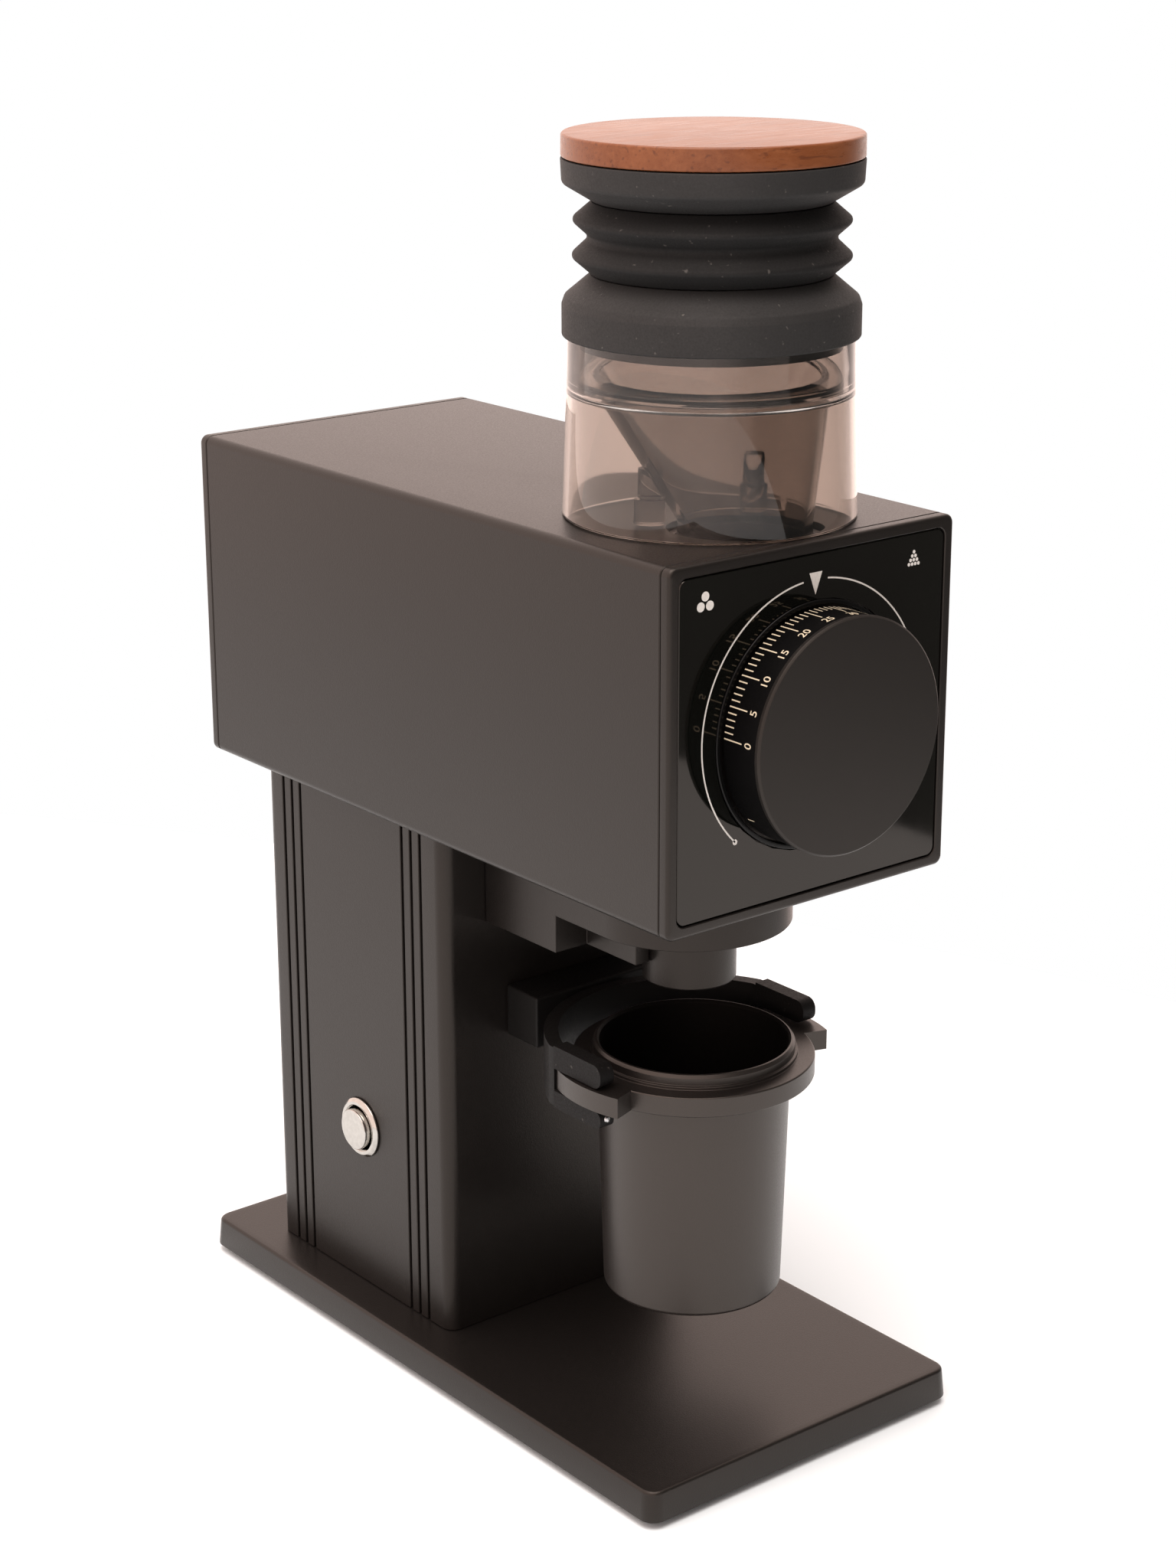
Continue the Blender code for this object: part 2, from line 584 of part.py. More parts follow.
def build_carrier():
    """Sliding burr carrier with a threaded stem to the front, and the ring burr in its rear end."""
    rear = at(0, CARRIER_REAR, AXIS_Z, "-y")
    length = CARRIER_REAR - CARRIER_FRONT
    stem = length + 23.0 * MM
    lip = CARRIER_REAR - BURR_FRONT + GAP
    floor, cavity_r, stem_bore = length - 3 * MM, 21.5 * MM, 6.0 * MM
    profile = [(STEM_R, stem), (STEM_R, length), (CARRIER_R, length), (CARRIER_R, 0),
               (CARRIER_INNER, 0), (CARRIER_INNER, lip), (cavity_r, lip), (cavity_r, floor),
               (stem_bore, floor), (stem_bore, stem)]
    carrier = turned("burr_carrier", profile, rear, "cast_aluminium", 24)
    window = block("bean_window", (-14 * MM, FRONT + 17.5 * MM, AXIS_Z + 10 * MM),
                   (14 * MM, FRONT + 34.5 * MM, AXIS_Z + 32 * MM))
    exit_notch = block("grounds_notch", (-9 * MM, FRONT + 46 * MM, AXIS_Z - 32 * MM),
                       (9 * MM, FRONT + 52 * MM, AXIS_Z - 10 * MM))
    cut(carrier, window, exit_notch)
    rim = CARRIER_INNER - GAP
    ring = [(rim, BURR_LENGTH), (rim, 0), (RING_LARGE, 0), (RING_SMALL, BURR_LENGTH)]
    ring_burr = turned("ring_burr", ring, at(0, BURR_FRONT + BURR_LENGTH, AXIS_Z, "-y"),
                       "tool_steel", 24)
    return carrier, ring_burr


def cone_burr():
    """Fluted cone on the shaft; each flute is a valley between two ridges."""
    ridges = 18
    slope = (RING_LARGE - RING_SMALL) / BURR_LENGTH
    small = RING_SMALL - BURR_GAP - slope * 2 * MM
    large = RING_LARGE - BURR_GAP
    bm = bmesh.new()
    length = BURR_LENGTH + 2 * MM
    bmesh.ops.create_cone(bm, cap_ends=True, segments=2 * ridges, radius1=large, radius2=small,
                          depth=length)
    for vert in bm.verts:
        turn = math.degrees(math.atan2(vert.co.y, vert.co.x)) / (180 / ridges)
        if round(turn) % 2:
            vert.co.x *= 0.88
            vert.co.y *= 0.88
    mesh = bpy.data.meshes.new("cone_burr")
    bm.to_mesh(mesh)
    bm.free()
    cone = add("cone_burr", mesh, "tool_steel",
               at(0, BURR_FRONT + BURR_LENGTH / 2 - 1 * MM, AXIS_Z, "-y"))
    bore = round_bar("cone_bore", SHAFT_R + GAP, 30 * MM,
                     at(0, BURR_FRONT + 20 * MM, AXIS_Z, "-y"), steps=24)
    cut(cone, bore)
    return cone


SHAFT_FRONT = FRONT + 24.0 * MM
SHAFT_REAR = FRONT + 90.0 * MM
OUTPUT_GEAR_FRONT = FRONT + 80.0 * MM
GEAR_FACE = 8.0 * MM


def gear_outline(teeth, phase=0.0):
    """Outline of a spur gear with straight-flanked teeth and running backlash."""
    pitch_r = GEAR_MODULE * teeth / 2
    tip_r, root_r = pitch_r + 0.75 * GEAR_MODULE, pitch_r - 1.15 * GEAR_MODULE
    step = 360 / teeth
    points = []
    for i in range(teeth):
        middle = phase + i * step
        for radius, share in ((root_r, -0.30), (tip_r, -0.10), (tip_r, 0.10), (root_r, 0.30)):
            angle = math.radians(middle + share * step)
            points.append((radius * math.cos(angle), radius * math.sin(angle)))
    return points


def build_drive():
    """Drive shaft with cone burr, lock nut and output gear, all turning together."""
    length, chamfer = SHAFT_REAR - SHAFT_FRONT, 0.5 * MM
    profile = [(0, length), (SHAFT_R - chamfer, length), (SHAFT_R, length - chamfer), (SHAFT_R, 0),
               (0, 0)]
    shaft = turned("drive_shaft", profile, at(0, SHAFT_REAR, AXIS_Z, "-y"), "steel", 20, ring=False)
    cone = cone_burr()
    nut = plate("burr_nut", [circle(0, 0, 9.0 * MM, 6), circle(0, 0, SHAFT_R + GAP, 20)], 5 * MM,
                at(0, FRONT + 32.5 * MM, AXIS_Z, "-y"), "steel")
    gear = plate("output_gear", [gear_outline(WHEEL_TEETH), circle(0, 0, SHAFT_R + GAP, 20)],
                 GEAR_FACE, at(0, OUTPUT_GEAR_FRONT + GEAR_FACE, AXIS_Z, "-y"), "nylon")
    return shaft, cone, nut, gear


# ---- gearbox and motor ---------------------------------------------------------------------------
BOX_FRONT = FRONT + 72.0 * MM
BOX_REAR = FRONT + 101.0 * MM
COVER_REAR = FRONT + 105.0 * MM
LAY_PINION_FRONT = FRONT + 79.5 * MM
LAY_WHEEL_FRONT = FRONT + 91.6 * MM
LAY_REAR = FRONT + 98.6 * MM
LAY_AXLE_R = 3.0 * MM
MOTOR_R = 31.0 * MM
MOTOR_REAR = FRONT + 188.0 * MM


def build_gearbox():
    """Box open to the rear, its cover plate, and the fixed axle of the lay gear."""
    x0, x1, half = -21.5 * MM, 41.5 * MM, 22.0 * MM
    box = block("gearbox_housing", (x0, BOX_FRONT, AXIS_Z - half), (x1, BOX_REAR, AXIS_Z + half),
                "cast_aluminium", "y", 5 * MM)
    wall = 2.5 * MM
    hollow = block("gearbox_hollow", (x0 + wall, BOX_FRONT + 6 * MM, AXIS_Z - half + wall),
                   (x1 - wall, BOX_REAR + 5 * MM, AXIS_Z + half - wall), None, "y", 3 * MM)
    seat = round_bar("rear_bearing_seat", BEARING_R + 0.2 * MM, 12 * MM,
                     at(0, BOX_FRONT + 8 * MM, AXIS_Z, "-y"), steps=24)
    axle_seat = round_bar("axle_seat", LAY_AXLE_R + 0.2 * MM, 12 * MM,
                          at(GEAR_CENTRES, BOX_FRONT + 14 * MM, AXIS_Z, "-y"), steps=16)
    cut(box, hollow, seat, axle_seat)
    turned("shaft_bearing_rear", bearing_profile(), at(0, BOX_FRONT + 5.5 * MM, AXIS_Z, "-y"),
           "steel", 24)
    loops = [rounded_rectangle(x0, -half, x1, half, 5 * MM, 3), circle(0, 0, 5.0 * MM, 24),
             circle(GEAR_CENTRES, 0, LAY_AXLE_R + 0.2 * MM, 16)]
    plate("gearbox_cover", loops, COVER_REAR - BOX_REAR - GAP, at(0, COVER_REAR, AXIS_Z, "-y"),
          "cast_aluminium")
    round_bar("lay_axle", LAY_AXLE_R, COVER_REAR - BOX_FRONT - 4 * MM,
              at(GEAR_CENTRES, COVER_REAR - 1 * MM, AXIS_Z, "-y"), "steel", 16)


def build_lay_gear():
    """Compound lay gear: a small pinion on the output gear, a large wheel on the motor pinion."""
    bore = circle(0, 0, LAY_AXLE_R + GAP, 16)
    wheel = plate("lay_gear", [gear_outline(WHEEL_TEETH, 180 / WHEEL_TEETH), bore],
                  LAY_REAR - LAY_WHEEL_FRONT, at(GEAR_CENTRES, LAY_REAR, AXIS_Z, "-y"), "nylon")
    into_wheel = 0.5 * MM
    pinion = plate("lay_pinion", [gear_outline(PINION_TEETH, 180 / PINION_TEETH), bore],
                   LAY_WHEEL_FRONT - LAY_PINION_FRONT + into_wheel,
                   at(GEAR_CENTRES, LAY_WHEEL_FRONT + into_wheel, AXIS_Z, "-y"))
    join(wheel, pinion)
    return wheel


def build_motor():
    """Brushed motor: drawn can with two magnets and a rear bush, rotor and pinion on its shaft."""
    front = COVER_REAR + GAP
    length = MOTOR_REAR - front
    bush_hole, wall = 6.3 * MM, 2 * MM
    can = [(MOTOR_R, length), (MOTOR_R, 1.5 * MM), (MOTOR_R - 1.5 * MM, 0), (bush_hole, 0),
           (bush_hole, wall), (MOTOR_R - wall, wall), (MOTOR_R - wall, length)]
    turned("motor_can", can, at(0, MOTOR_REAR, AXIS_Z, "-y"), "black_plastic", 24)
    bush = [(6.0 * MM, 5 * MM), (6.0 * MM, 0), (4.25 * MM, 0), (4.25 * MM, 5 * MM)]
    turned("motor_bush", bush, at(0, MOTOR_REAR + 2.5 * MM, AXIS_Z, "-y"), "brass", 16)
    for name, start in (("left", 120), ("right", -60)):
        outer = arc(0, 0, MOTOR_R - 2.4 * MM, start, start + 120, 10)
        inner = arc(0, 0, MOTOR_R - 7.5 * MM, start + 120, start, 10)
        plate("motor_magnet_" + name, [outer + inner], 50 * MM,
              at(0, FRONT + 168 * MM, AXIS_Z, "-y"), "black_plastic")
    rear, tip = MOTOR_REAR - 1.0 * MM, FRONT + 91.5 * MM
    shaft_r = 4.0 * MM
    core_rear, core_front = rear - (FRONT + 166 * MM), rear - (FRONT + 122 * MM)
    core_r, nose_r, collector_r = 22 * MM, 2.2 * MM, 9 * MM
    rings = [(0, rear - tip), (nose_r, rear - tip), (nose_r, rear - COVER_REAR),
             (shaft_r, rear - COVER_REAR), (shaft_r, core_front), (core_r, core_front),
             (core_r, core_rear), (shaft_r, core_rear), (shaft_r, core_rear - 3 * MM),
             (collector_r, core_rear - 3 * MM), (collector_r, core_rear - 13 * MM),
             (shaft_r, core_rear - 13 * MM), (shaft_r, 0), (0, 0)]
    rotor = turned("motor_rotor", rings, at(0, rear, AXIS_Z, "-y"), "copper", 16, ring=False)
    loops = [gear_outline(PINION_TEETH), circle(0, 0, nose_r + GAP, 16)]
    pinion = plate("motor_pinion", loops, GEAR_FACE - 0.5 * MM, at(0, tip + GEAR_FACE, AXIS_Z, "-y"),
                   "brass")
    return rotor, pinion


def build_motor_lead():
    """Motor lead from the control board, up the column and behind the motor."""
    route = [(0, COLUMN_FRONT + 35 * MM, 112 * MM), (0, COLUMN_FRONT + 50 * MM, 118 * MM),
             (0, COLUMN_REAR - 22 * MM, 136 * MM), (0, COLUMN_REAR - 22 * MM, 166 * MM),
             (0, COLUMN_REAR - 6 * MM, 172 * MM), (0, MOTOR_REAR + 10 * MM, 178 * MM),
             (0, MOTOR_REAR + 11 * MM, 186 * MM), (0, MOTOR_REAR + 5 * MM, 192 * MM)]
    curve = bpy.data.curves.new("motor_lead", "CURVE")
    curve.dimensions = "3D"
    curve.bevel_depth = 1.8 * MM
    curve.bevel_resolution = 2
    curve.use_fill_caps = True
    spline = curve.splines.new("POLY")
    points = smooth_route([Vector(p) for p in route], 3)
    spline.points.add(len(points) - 1)
    for point, place in zip(spline.points, points):
        point.co = (*place, 1.0)
    lead = bpy.data.objects.new("motor_lead", curve)
    lead.data.materials.append(material("motor_lead", "rubber"))
    PARTS.objects.link(lead)


def smooth_route(points, steps):
    """Catmull-Rom points through a route."""
    ends = [points[0] * 2 - points[1]] + points + [points[-1] * 2 - points[-2]]
    smooth = []
    for a, b, c, d in zip(ends, ends[1:], ends[2:], ends[3:]):
        for i in range(steps):
            t = i / steps
            smooth.append(0.5 * (2 * b + (c - a) * t + (2 * a - 5 * b + 4 * c - d) * t * t
                                 + (3 * b - a - 3 * c + d) * t ** 3))
    return smooth + [points[-1]]


# ---- dial ----------------------------------------------------------------------------------------
def build_dial():
    """Trim ring let into the panel, and the turning dial: a skirt with the scale and a front cap."""
    seat = FRONT + PANEL_DEPTH - GAP
    trim_t = seat - FRONT + 0.1 * MM
    trim = [(TRIM_OUTER, trim_t), (TRIM_OUTER, 0.0), (TRIM_INNER, 0.0), (TRIM_INNER, trim_t)]
    turned("dial_trim_ring", trim, at(0, seat, AXIS_Z, "-y"), "black_plastic", 28)
    back = FRONT - 0.1 * MM - GAP
    depth = back - (FRONT - DIAL_PROUD)
    cap_t = 1.6 * MM
    face, floor = depth - cap_t - GAP, depth - cap_t - 2.5 * MM
    skirt = [(DIAL_R, face), (DIAL_R, 0), (27.5 * MM, 0), (27.5 * MM, floor), (14.0 * MM, floor),
             (14.0 * MM, 0), (STEM_R + GAP, 0), (STEM_R + GAP, face)]
    dial = turned("dial_skirt", skirt, at(0, back, AXIS_Z, "-y"), "black_plastic", 28)
    cap = [(0, cap_t), (DIAL_R - 0.2 * MM, cap_t), (DIAL_R + 0.4 * MM, cap_t - 0.5 * MM),
           (DIAL_R + 0.4 * MM, 0), (0, 0)]
    front = turned("dial_cap", cap, at(0, FRONT - DIAL_PROUD + cap_t, AXIS_Z, "-y"), "powder_coat",
                   28, ring=False)
    return dial, front


# ---- hopper and bellows --------------------------------------------------------------------------
FUNNEL_TOP = HEAD_TOP + 35.5 * MM
FUNNEL_FOOT = HEAD_TOP + 2.1 * MM
CUFF_BOTTOM = HEAD_TOP + 45.8 * MM
HOPPER_RIM = CUFF_BOTTOM + 7.2 * MM


def build_hopper():
    """Clear wall with an inner shelf, and the clear funnel that sits on it."""
    rim, shelf = HOPPER_RIM - HEAD_TOP, FUNNEL_TOP - HEAD_TOP - 2.3 * MM
    wall = [(36.0 * MM, rim), (36.3 * MM, 37.8 * MM), (37.75 * MM, GAP), (35.6 * MM, GAP),
            (34.6 * MM, shelf - 1.7 * MM), (32.2 * MM, shelf - 1.2 * MM), (32.2 * MM, shelf),
            (34.2 * MM, shelf), (34.0 * MM, rim)]
    hopper = turned("hopper_wall", wall, at(0, HOPPER_Y, HEAD_TOP), "smoked_plastic", 32)
    shift = THROAT_Y - HOPPER_Y
    tube = HEAD_TOP - 6.0 * MM
    outer = [(33.9, FUNNEL_TOP, 0), (33.9, FUNNEL_TOP - 2 * MM, 0), (30.1, FUNNEL_TOP - 2 * MM, 0),
             (16.9, FUNNEL_FOOT, shift), (16.9, tube, shift)]
    inner = [(28.9, FUNNEL_TOP + 1 * MM, 0), (28.4, FUNNEL_TOP, 0), (15.0, FUNNEL_FOOT + 0.5 * MM, shift),
             (15.0, tube - 1 * MM, shift)]
    funnel = oblique_solid("hopper_funnel", outer, "smoked_plastic")
    for side_name, side in (("left", -1), ("right", 1)):
        x, y = side * 17.4 * MM, FRONT + 43.2 * MM
        post = [(0, 14 * MM), (3.0 * MM, 14 * MM), (3.0 * MM, 6.5 * MM), (3.9 * MM, 6.5 * MM),
                (3.9 * MM, 0), (0, 0)]
        join(funnel, turned("funnel_post_" + side_name, post, at(x, y, HEAD_TOP + 0.6 * MM),
                            steps=12, ring=False))
    cut(funnel, oblique_solid("funnel_inside", inner))
    return hopper, funnel


def oblique_solid(name, rings, finish=None, steps=28):
    """A closed loft between circles whose centres step sideways in Y; radii are in millimetres."""
    bm = bmesh.new()
    loops = []
    for radius, z, shift in rings:
        loops.append([bm.verts.new((x, y + shift, z)) for x, y in circle(0, 0, radius * MM, steps)])
    for upper, lower in zip(loops, loops[1:]):
        for i in range(steps):
            j = (i + 1) % steps
            bm.faces.new((upper[i], lower[i], lower[j], upper[j]))
    bm.faces.new(loops[0])
    bm.faces.new(loops[-1][::-1])
    mesh = bpy.data.meshes.new(name)
    bm.to_mesh(mesh)
    bm.free()
    part = add(name, mesh, finish, at(0, HOPPER_Y, 0))
    shade(part)
    return part


CUFF_TOP = HEAD_TOP + 61.0 * MM
FOLDS_TOP = HEAD_TOP + 79.2 * MM
LID_SEAT = HEAD_TOP + 89.9 * MM
LID_TOP = HEAD_TOP + 95.7 * MM


def build_bellows():
    """Lower cuff that grips the hopper's rim from both sides, folds, upper cuff and wooden lid."""
    bottom, lip = CUFF_BOTTOM, 2.6 * MM
    cuff_h, bore_h = CUFF_TOP - bottom, HOPPER_RIM - bottom + GAP
    lower = [(30.6, cuff_h), (37.1, cuff_h - 5.9 * MM), (37.6, cuff_h - 7.2 * MM),
             (37.6, 0.9 * MM), (37.1, 0), (36.5, 0), (36.5, bore_h), (33.7, bore_h), (33.7, -lip),
             (31.8, -lip), (31.8, bore_h), (28.8, cuff_h - 1.5 * MM), (28.8, cuff_h)]
    cuff = turned("bellows_cuff_lower", [(r * MM, z) for r, z in lower], at(0, HOPPER_Y, bottom),
                  "rubber", 28)
    folds_h = FOLDS_TOP - CUFF_TOP - 2 * GAP
    crests = ((13.2, 35.2), (4.2, 35.4))
    outer = [(30.1, folds_h / MM)]
    for height, radius in crests:
        outer += [(radius, height + 0.8), (radius, height - 0.8)]
        outer.append((30.4, (height - 4.2) if height > 10 else 0.0))
    inner = [(r - 1.8, h) for r, h in reversed(outer)]
    folds = turned("bellows_folds", [(r * MM, h * MM) for r, h in outer + inner],
                   at(0, HOPPER_Y, CUFF_TOP + GAP), "rubber", 28)
    seat = LID_SEAT - FOLDS_TOP
    upper = [(37.8, seat - GAP), (37.4, 5.3 * MM), (34.5, 2.7 * MM), (30.1, 0), (28.3, 0),
             (28.3, 1.2 * MM), (33.0, 4.4 * MM), (33.0, seat - GAP)]
    top_cuff = turned("bellows_cuff_upper", [(r * MM, z) for r, z in upper],
                      at(0, HOPPER_Y, FOLDS_TOP), "rubber", 28)
    thick = LID_TOP - LID_SEAT
    lid = [(0, thick), (37.2 * MM, thick), (37.7 * MM, thick - 0.5 * MM), (37.7 * MM, 0.4 * MM),
           (37.3 * MM, 0), (32.6 * MM, 0), (32.6 * MM, -4.5 * MM), (0, -4.5 * MM)]
    wood = turned("wood_lid", lid, at(0, HOPPER_Y, LID_SEAT), "wood", 28, ring=False)
    gasket = [(17.1 * MM, 2.4 * MM), (17.1 * MM, 0), (15.0 * MM, 0), (15.0 * MM, 2.4 * MM)]
    turned("feed_gasket", gasket, at(0, THROAT_Y, HEAD_TOP - 8.7 * MM), "rubber", 24)
    return cuff, folds, top_cuff, wood


# ---- chute, fork and cup -------------------------------------------------------------------------
SKIRT_BOTTOM = HEAD_BOTTOM - 17.1 * MM
CHUTE_BOTTOM = HEAD_BOTTOM - 27.7 * MM
SPOUT_BOTTOM = HEAD_BOTTOM - 33.9 * MM
CHUTE_HALF = 28.4 * MM
CHUTE_ARC_Y = FRONT + 48.0 * MM
SPOUT_OUTER, SPOUT_BORE = 12.7 * MM, 10.7 * MM


def build_chute():
    """Chute housing under the head: round-fronted skirt, rear block and centre block, and its spout."""
    back = COLUMN_FRONT - GAP
    skirt = [(-CHUTE_HALF, back)] + arc(0, CHUTE_ARC_Y, CHUTE_HALF, 180, 360, 16) + [(CHUTE_HALF, back)]
    housing = plate("chute_housing", [skirt], HEAD_BOTTOM - GAP - SKIRT_BOTTOM,
                    at(0, 0, SKIRT_BOTTOM), "powder_coat")
    rear_block = block("chute_rear_block", (-CHUTE_HALF, FRONT + 69 * MM, CHUTE_BOTTOM),
                       (CHUTE_HALF, back, SKIRT_BOTTOM + 4 * MM))
    centre_block = block("chute_centre_block", (-17.6 * MM, FRONT + 48.3 * MM, CHUTE_BOTTOM + 0.01 * MM),
                         (17.6 * MM, FRONT + 75 * MM, SKIRT_BOTTOM + 3 * MM))
    join(housing, rear_block, centre_block)
    hollow = block("chute_hollow", (-24.5 * MM, FRONT + 73 * MM, CHUTE_BOTTOM + 4 * MM),
                   (24.5 * MM, back - 4 * MM, HEAD_BOTTOM + 2 * MM))
    socket_top = SKIRT_BOTTOM + 8 * MM
    socket = round_bar("spout_socket", SPOUT_OUTER + GAP, socket_top - SPOUT_BOTTOM,
                       at(0, SPOUT_Y, SPOUT_BOTTOM), steps=28)
    bore = round_bar("chute_bore", SPOUT_BORE, 60 * MM, at(0, SPOUT_Y, SPOUT_BOTTOM), steps=28)
    cut(housing, hollow, socket, bore)
    shade(housing, 30)
    length = socket_top - GAP - SPOUT_BOTTOM
    spout = [(SPOUT_OUTER, length), (SPOUT_OUTER, 0.5 * MM), (SPOUT_OUTER - 0.5 * MM, 0), (SPOUT_BORE, 0),
             (SPOUT_BORE, length)]
    turned("spout", spout, at(0, SPOUT_Y, SPOUT_BOTTOM), "powder_coat", 28)


FORK_TOP = 113.2 * MM
FORK_BOTTOM = 95.3 * MM
FORK_OUTER, FORK_INNER = 40.8 * MM, 36.9 * MM
PRONG_OUTER, PRONG_INNER = 38.4 * MM, 33.8 * MM
PRONG_TIP = FRONT + 37.6 * MM
EAR_BOTTOM, EAR_TOP = 100.5 * MM, 106.2 * MM
EAR_R, FLANGE_R = 39.5 * MM, 32.9 * MM
EAR_SPREAD = 19.0                 # degrees each side of the cup's cross axis
BRACKET_HALF = 21.5 * MM


def build_fork():
    """Horseshoe fork: a ring round the cup's back with two slotted prongs, on a bracket block."""
    outer_turn = math.degrees(math.acos(PRONG_OUTER / FORK_OUTER))
    inner_turn = math.degrees(math.acos(PRONG_INNER / FORK_INNER))
    outline = [(PRONG_OUTER, PRONG_TIP)] + arc(0, CUP_Y, FORK_OUTER, outer_turn, 180 - outer_turn, 20)
    outline += [(-PRONG_OUTER, PRONG_TIP), (-PRONG_INNER, PRONG_TIP)]
    outline += arc(0, CUP_Y, FORK_INNER, 180 - inner_turn, inner_turn, 20) + [(PRONG_INNER, PRONG_TIP)]
    fork = plate("cup_fork", [outline], FORK_TOP - FORK_BOTTOM, at(0, 0, FORK_BOTTOM), "black_plastic")
    slot = block("ear_slot", (-60 * MM, FRONT + 20 * MM, EAR_BOTTOM - GAP),
                 (60 * MM, FRONT + 57.9 * MM, EAR_TOP + 0.4 * MM))
    cut(fork, slot)
    for name, side in (("left", -1), ("right", 1)):
        x, z = side * 36.1 * MM, EAR_BOTTOM - 2.4 * MM
        cut(fork, round_bar("detent_socket_" + name, 1.3 * MM, 4 * MM,
                            at(x, PRONG_TIP + 3 * MM, z, "-y"), steps=12))
        ball = [(0, 3.4 * MM), (0.7 * MM, 3.2 * MM), (1.0 * MM, 2.7 * MM), (1.0 * MM, 0.2 * MM),
                (0, 0.2 * MM)]
        turned("detent_pin_" + name, ball, at(x, PRONG_TIP + 2.8 * MM, z, "-y"), "steel", 12, ring=False)
    tongue_y = CUP_Y + FORK_OUTER
    tongue = block("fork_tongue", (-12 * MM, tongue_y - 2.9 * MM, FORK_BOTTOM + 3 * MM),
                   (12 * MM, tongue_y + 0.8 * MM, FORK_TOP - 3 * MM))
    join(fork, tongue)
    shade(fork, 30)
    block("fork_bracket", (-BRACKET_HALF, tongue_y + 0.8 * MM + GAP, FORK_BOTTOM + 2.9 * MM),
          (BRACKET_HALF, COLUMN_FRONT - GAP, FORK_TOP), "black_plastic", "x", 1 * MM, 1)


CUP_BOTTOM = 37.8 * MM
CUP_RIM = 110.2 * MM


def build_cup():
    """Dosing cup: tapered body, stepped rim, flange, and two ears that run in the fork's slots."""
    h = CUP_RIM - CUP_BOTTOM
    flange_top, flange_bottom = EAR_TOP - CUP_BOTTOM, EAR_BOTTOM - CUP_BOTTOM
    profile = [(26.4 * MM, h), (27.5 * MM, h - 1.2 * MM), (27.5 * MM, flange_top), (FLANGE_R, flange_top),
               (FLANGE_R, flange_bottom), (26.3 * MM, flange_bottom), (24.4 * MM, 0.8 * MM),
               (23.6 * MM, 0), (0, 0)]
    inside = [(0, 2.2 * MM), (22.0 * MM, 2.2 * MM), (25.8 * MM, h - 0.8 * MM), (26.4 * MM, h)]
    profile = profile + inside[:-1]
    cup = turned("dosing_cup", profile, at(0, CUP_Y, CUP_BOTTOM), "powder_coat", 32, ring=True)
    cup.modifiers["turn"].use_merge_vertices = True
    for name, middle in (("left", 180), ("right", 0)):
        outline = arc(0, 0, EAR_R, middle - EAR_SPREAD, middle + EAR_SPREAD, 8)
        outline += arc(0, 0, FLANGE_R - 1.5 * MM, middle + EAR_SPREAD, middle - EAR_SPREAD, 6)
        join(cup, plate("ear_" + name, [outline], EAR_TOP - EAR_BOTTOM - 0.02 * MM,
                        at(0, CUP_Y, EAR_BOTTOM + 0.01 * MM)))
    return cup


# ---- assembly ------------------------------------------------------------------------------------
base = build_base()
base_screws(base)
build_column()
build_button()
build_power_inlet()
build_control_board()
build_head()
build_bezel()
build_rear_cover()
build_chamber()
build_gearbox()
build_motor_lead()
build_chute()
build_fork()
carrier_parts = build_carrier()
drive_parts = build_drive()
lay_wheel = build_lay_gear()
motor_parts = build_motor()
dial_parts = build_dial()
hopper_parts = build_hopper()
lower_cuff, folds, upper_cuff, lid = build_bellows()
build_cup()

burr_axis = at(0, FRONT, AXIS_Z)
carry(empty("dial_pivot", burr_axis), *dial_parts)
carry(empty("burr_feed_slide", burr_axis), *carrier_parts)
carry(empty("drive_pivot", burr_axis), *drive_parts)
carry(empty("lay_gear_pivot", at(GEAR_CENTRES, FRONT, AXIS_Z)), lay_wheel)
carry(empty("motor_pivot", burr_axis), *motor_parts)
hopper_slide = empty("hopper_slide", at(0, HOPPER_Y, HEAD_TOP))
bellows_slide = empty("bellows_slide", at(0, HOPPER_Y, CUFF_BOTTOM))
press_slide = empty("bellows_press_slide", at(0, HOPPER_Y, FOLDS_TOP))
carry(hopper_slide, *hopper_parts, bellows_slide)
carry(bellows_slide, lower_cuff, folds, press_slide)
carry(press_slide, upper_cuff, lid)
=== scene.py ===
"""The looks of a single-dose electric coffee grinder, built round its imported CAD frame.

Everything is in metres, +Z up, with the grind dial towards -Y. Where a piece goes comes from the
boxes of the CAD nodes; the named sizes below are the shapes that those boxes don't give.
"""

import json
import math

import bmesh
import bpy
from mathutils import Matrix, Vector


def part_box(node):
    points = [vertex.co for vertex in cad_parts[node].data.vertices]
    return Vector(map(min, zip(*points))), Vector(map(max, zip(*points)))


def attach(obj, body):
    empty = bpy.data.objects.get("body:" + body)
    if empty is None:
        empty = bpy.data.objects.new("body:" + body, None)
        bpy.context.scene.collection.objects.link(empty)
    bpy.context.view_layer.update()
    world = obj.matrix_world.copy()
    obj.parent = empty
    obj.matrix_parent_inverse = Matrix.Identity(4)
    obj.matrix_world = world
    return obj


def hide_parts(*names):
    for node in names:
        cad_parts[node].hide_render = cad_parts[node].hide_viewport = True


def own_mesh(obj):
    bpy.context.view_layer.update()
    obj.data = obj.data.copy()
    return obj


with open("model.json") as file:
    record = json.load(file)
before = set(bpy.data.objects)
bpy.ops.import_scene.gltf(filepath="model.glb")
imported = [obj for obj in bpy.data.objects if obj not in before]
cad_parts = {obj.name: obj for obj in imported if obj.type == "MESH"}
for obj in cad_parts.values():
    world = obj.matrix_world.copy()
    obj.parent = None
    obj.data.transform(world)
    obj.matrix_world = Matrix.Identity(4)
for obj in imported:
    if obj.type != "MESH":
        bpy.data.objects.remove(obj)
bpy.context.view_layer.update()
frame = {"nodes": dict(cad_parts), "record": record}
MM = 0.001
ON_AXIS = 1e-7                    # a profile point nearer than this lies on the axis
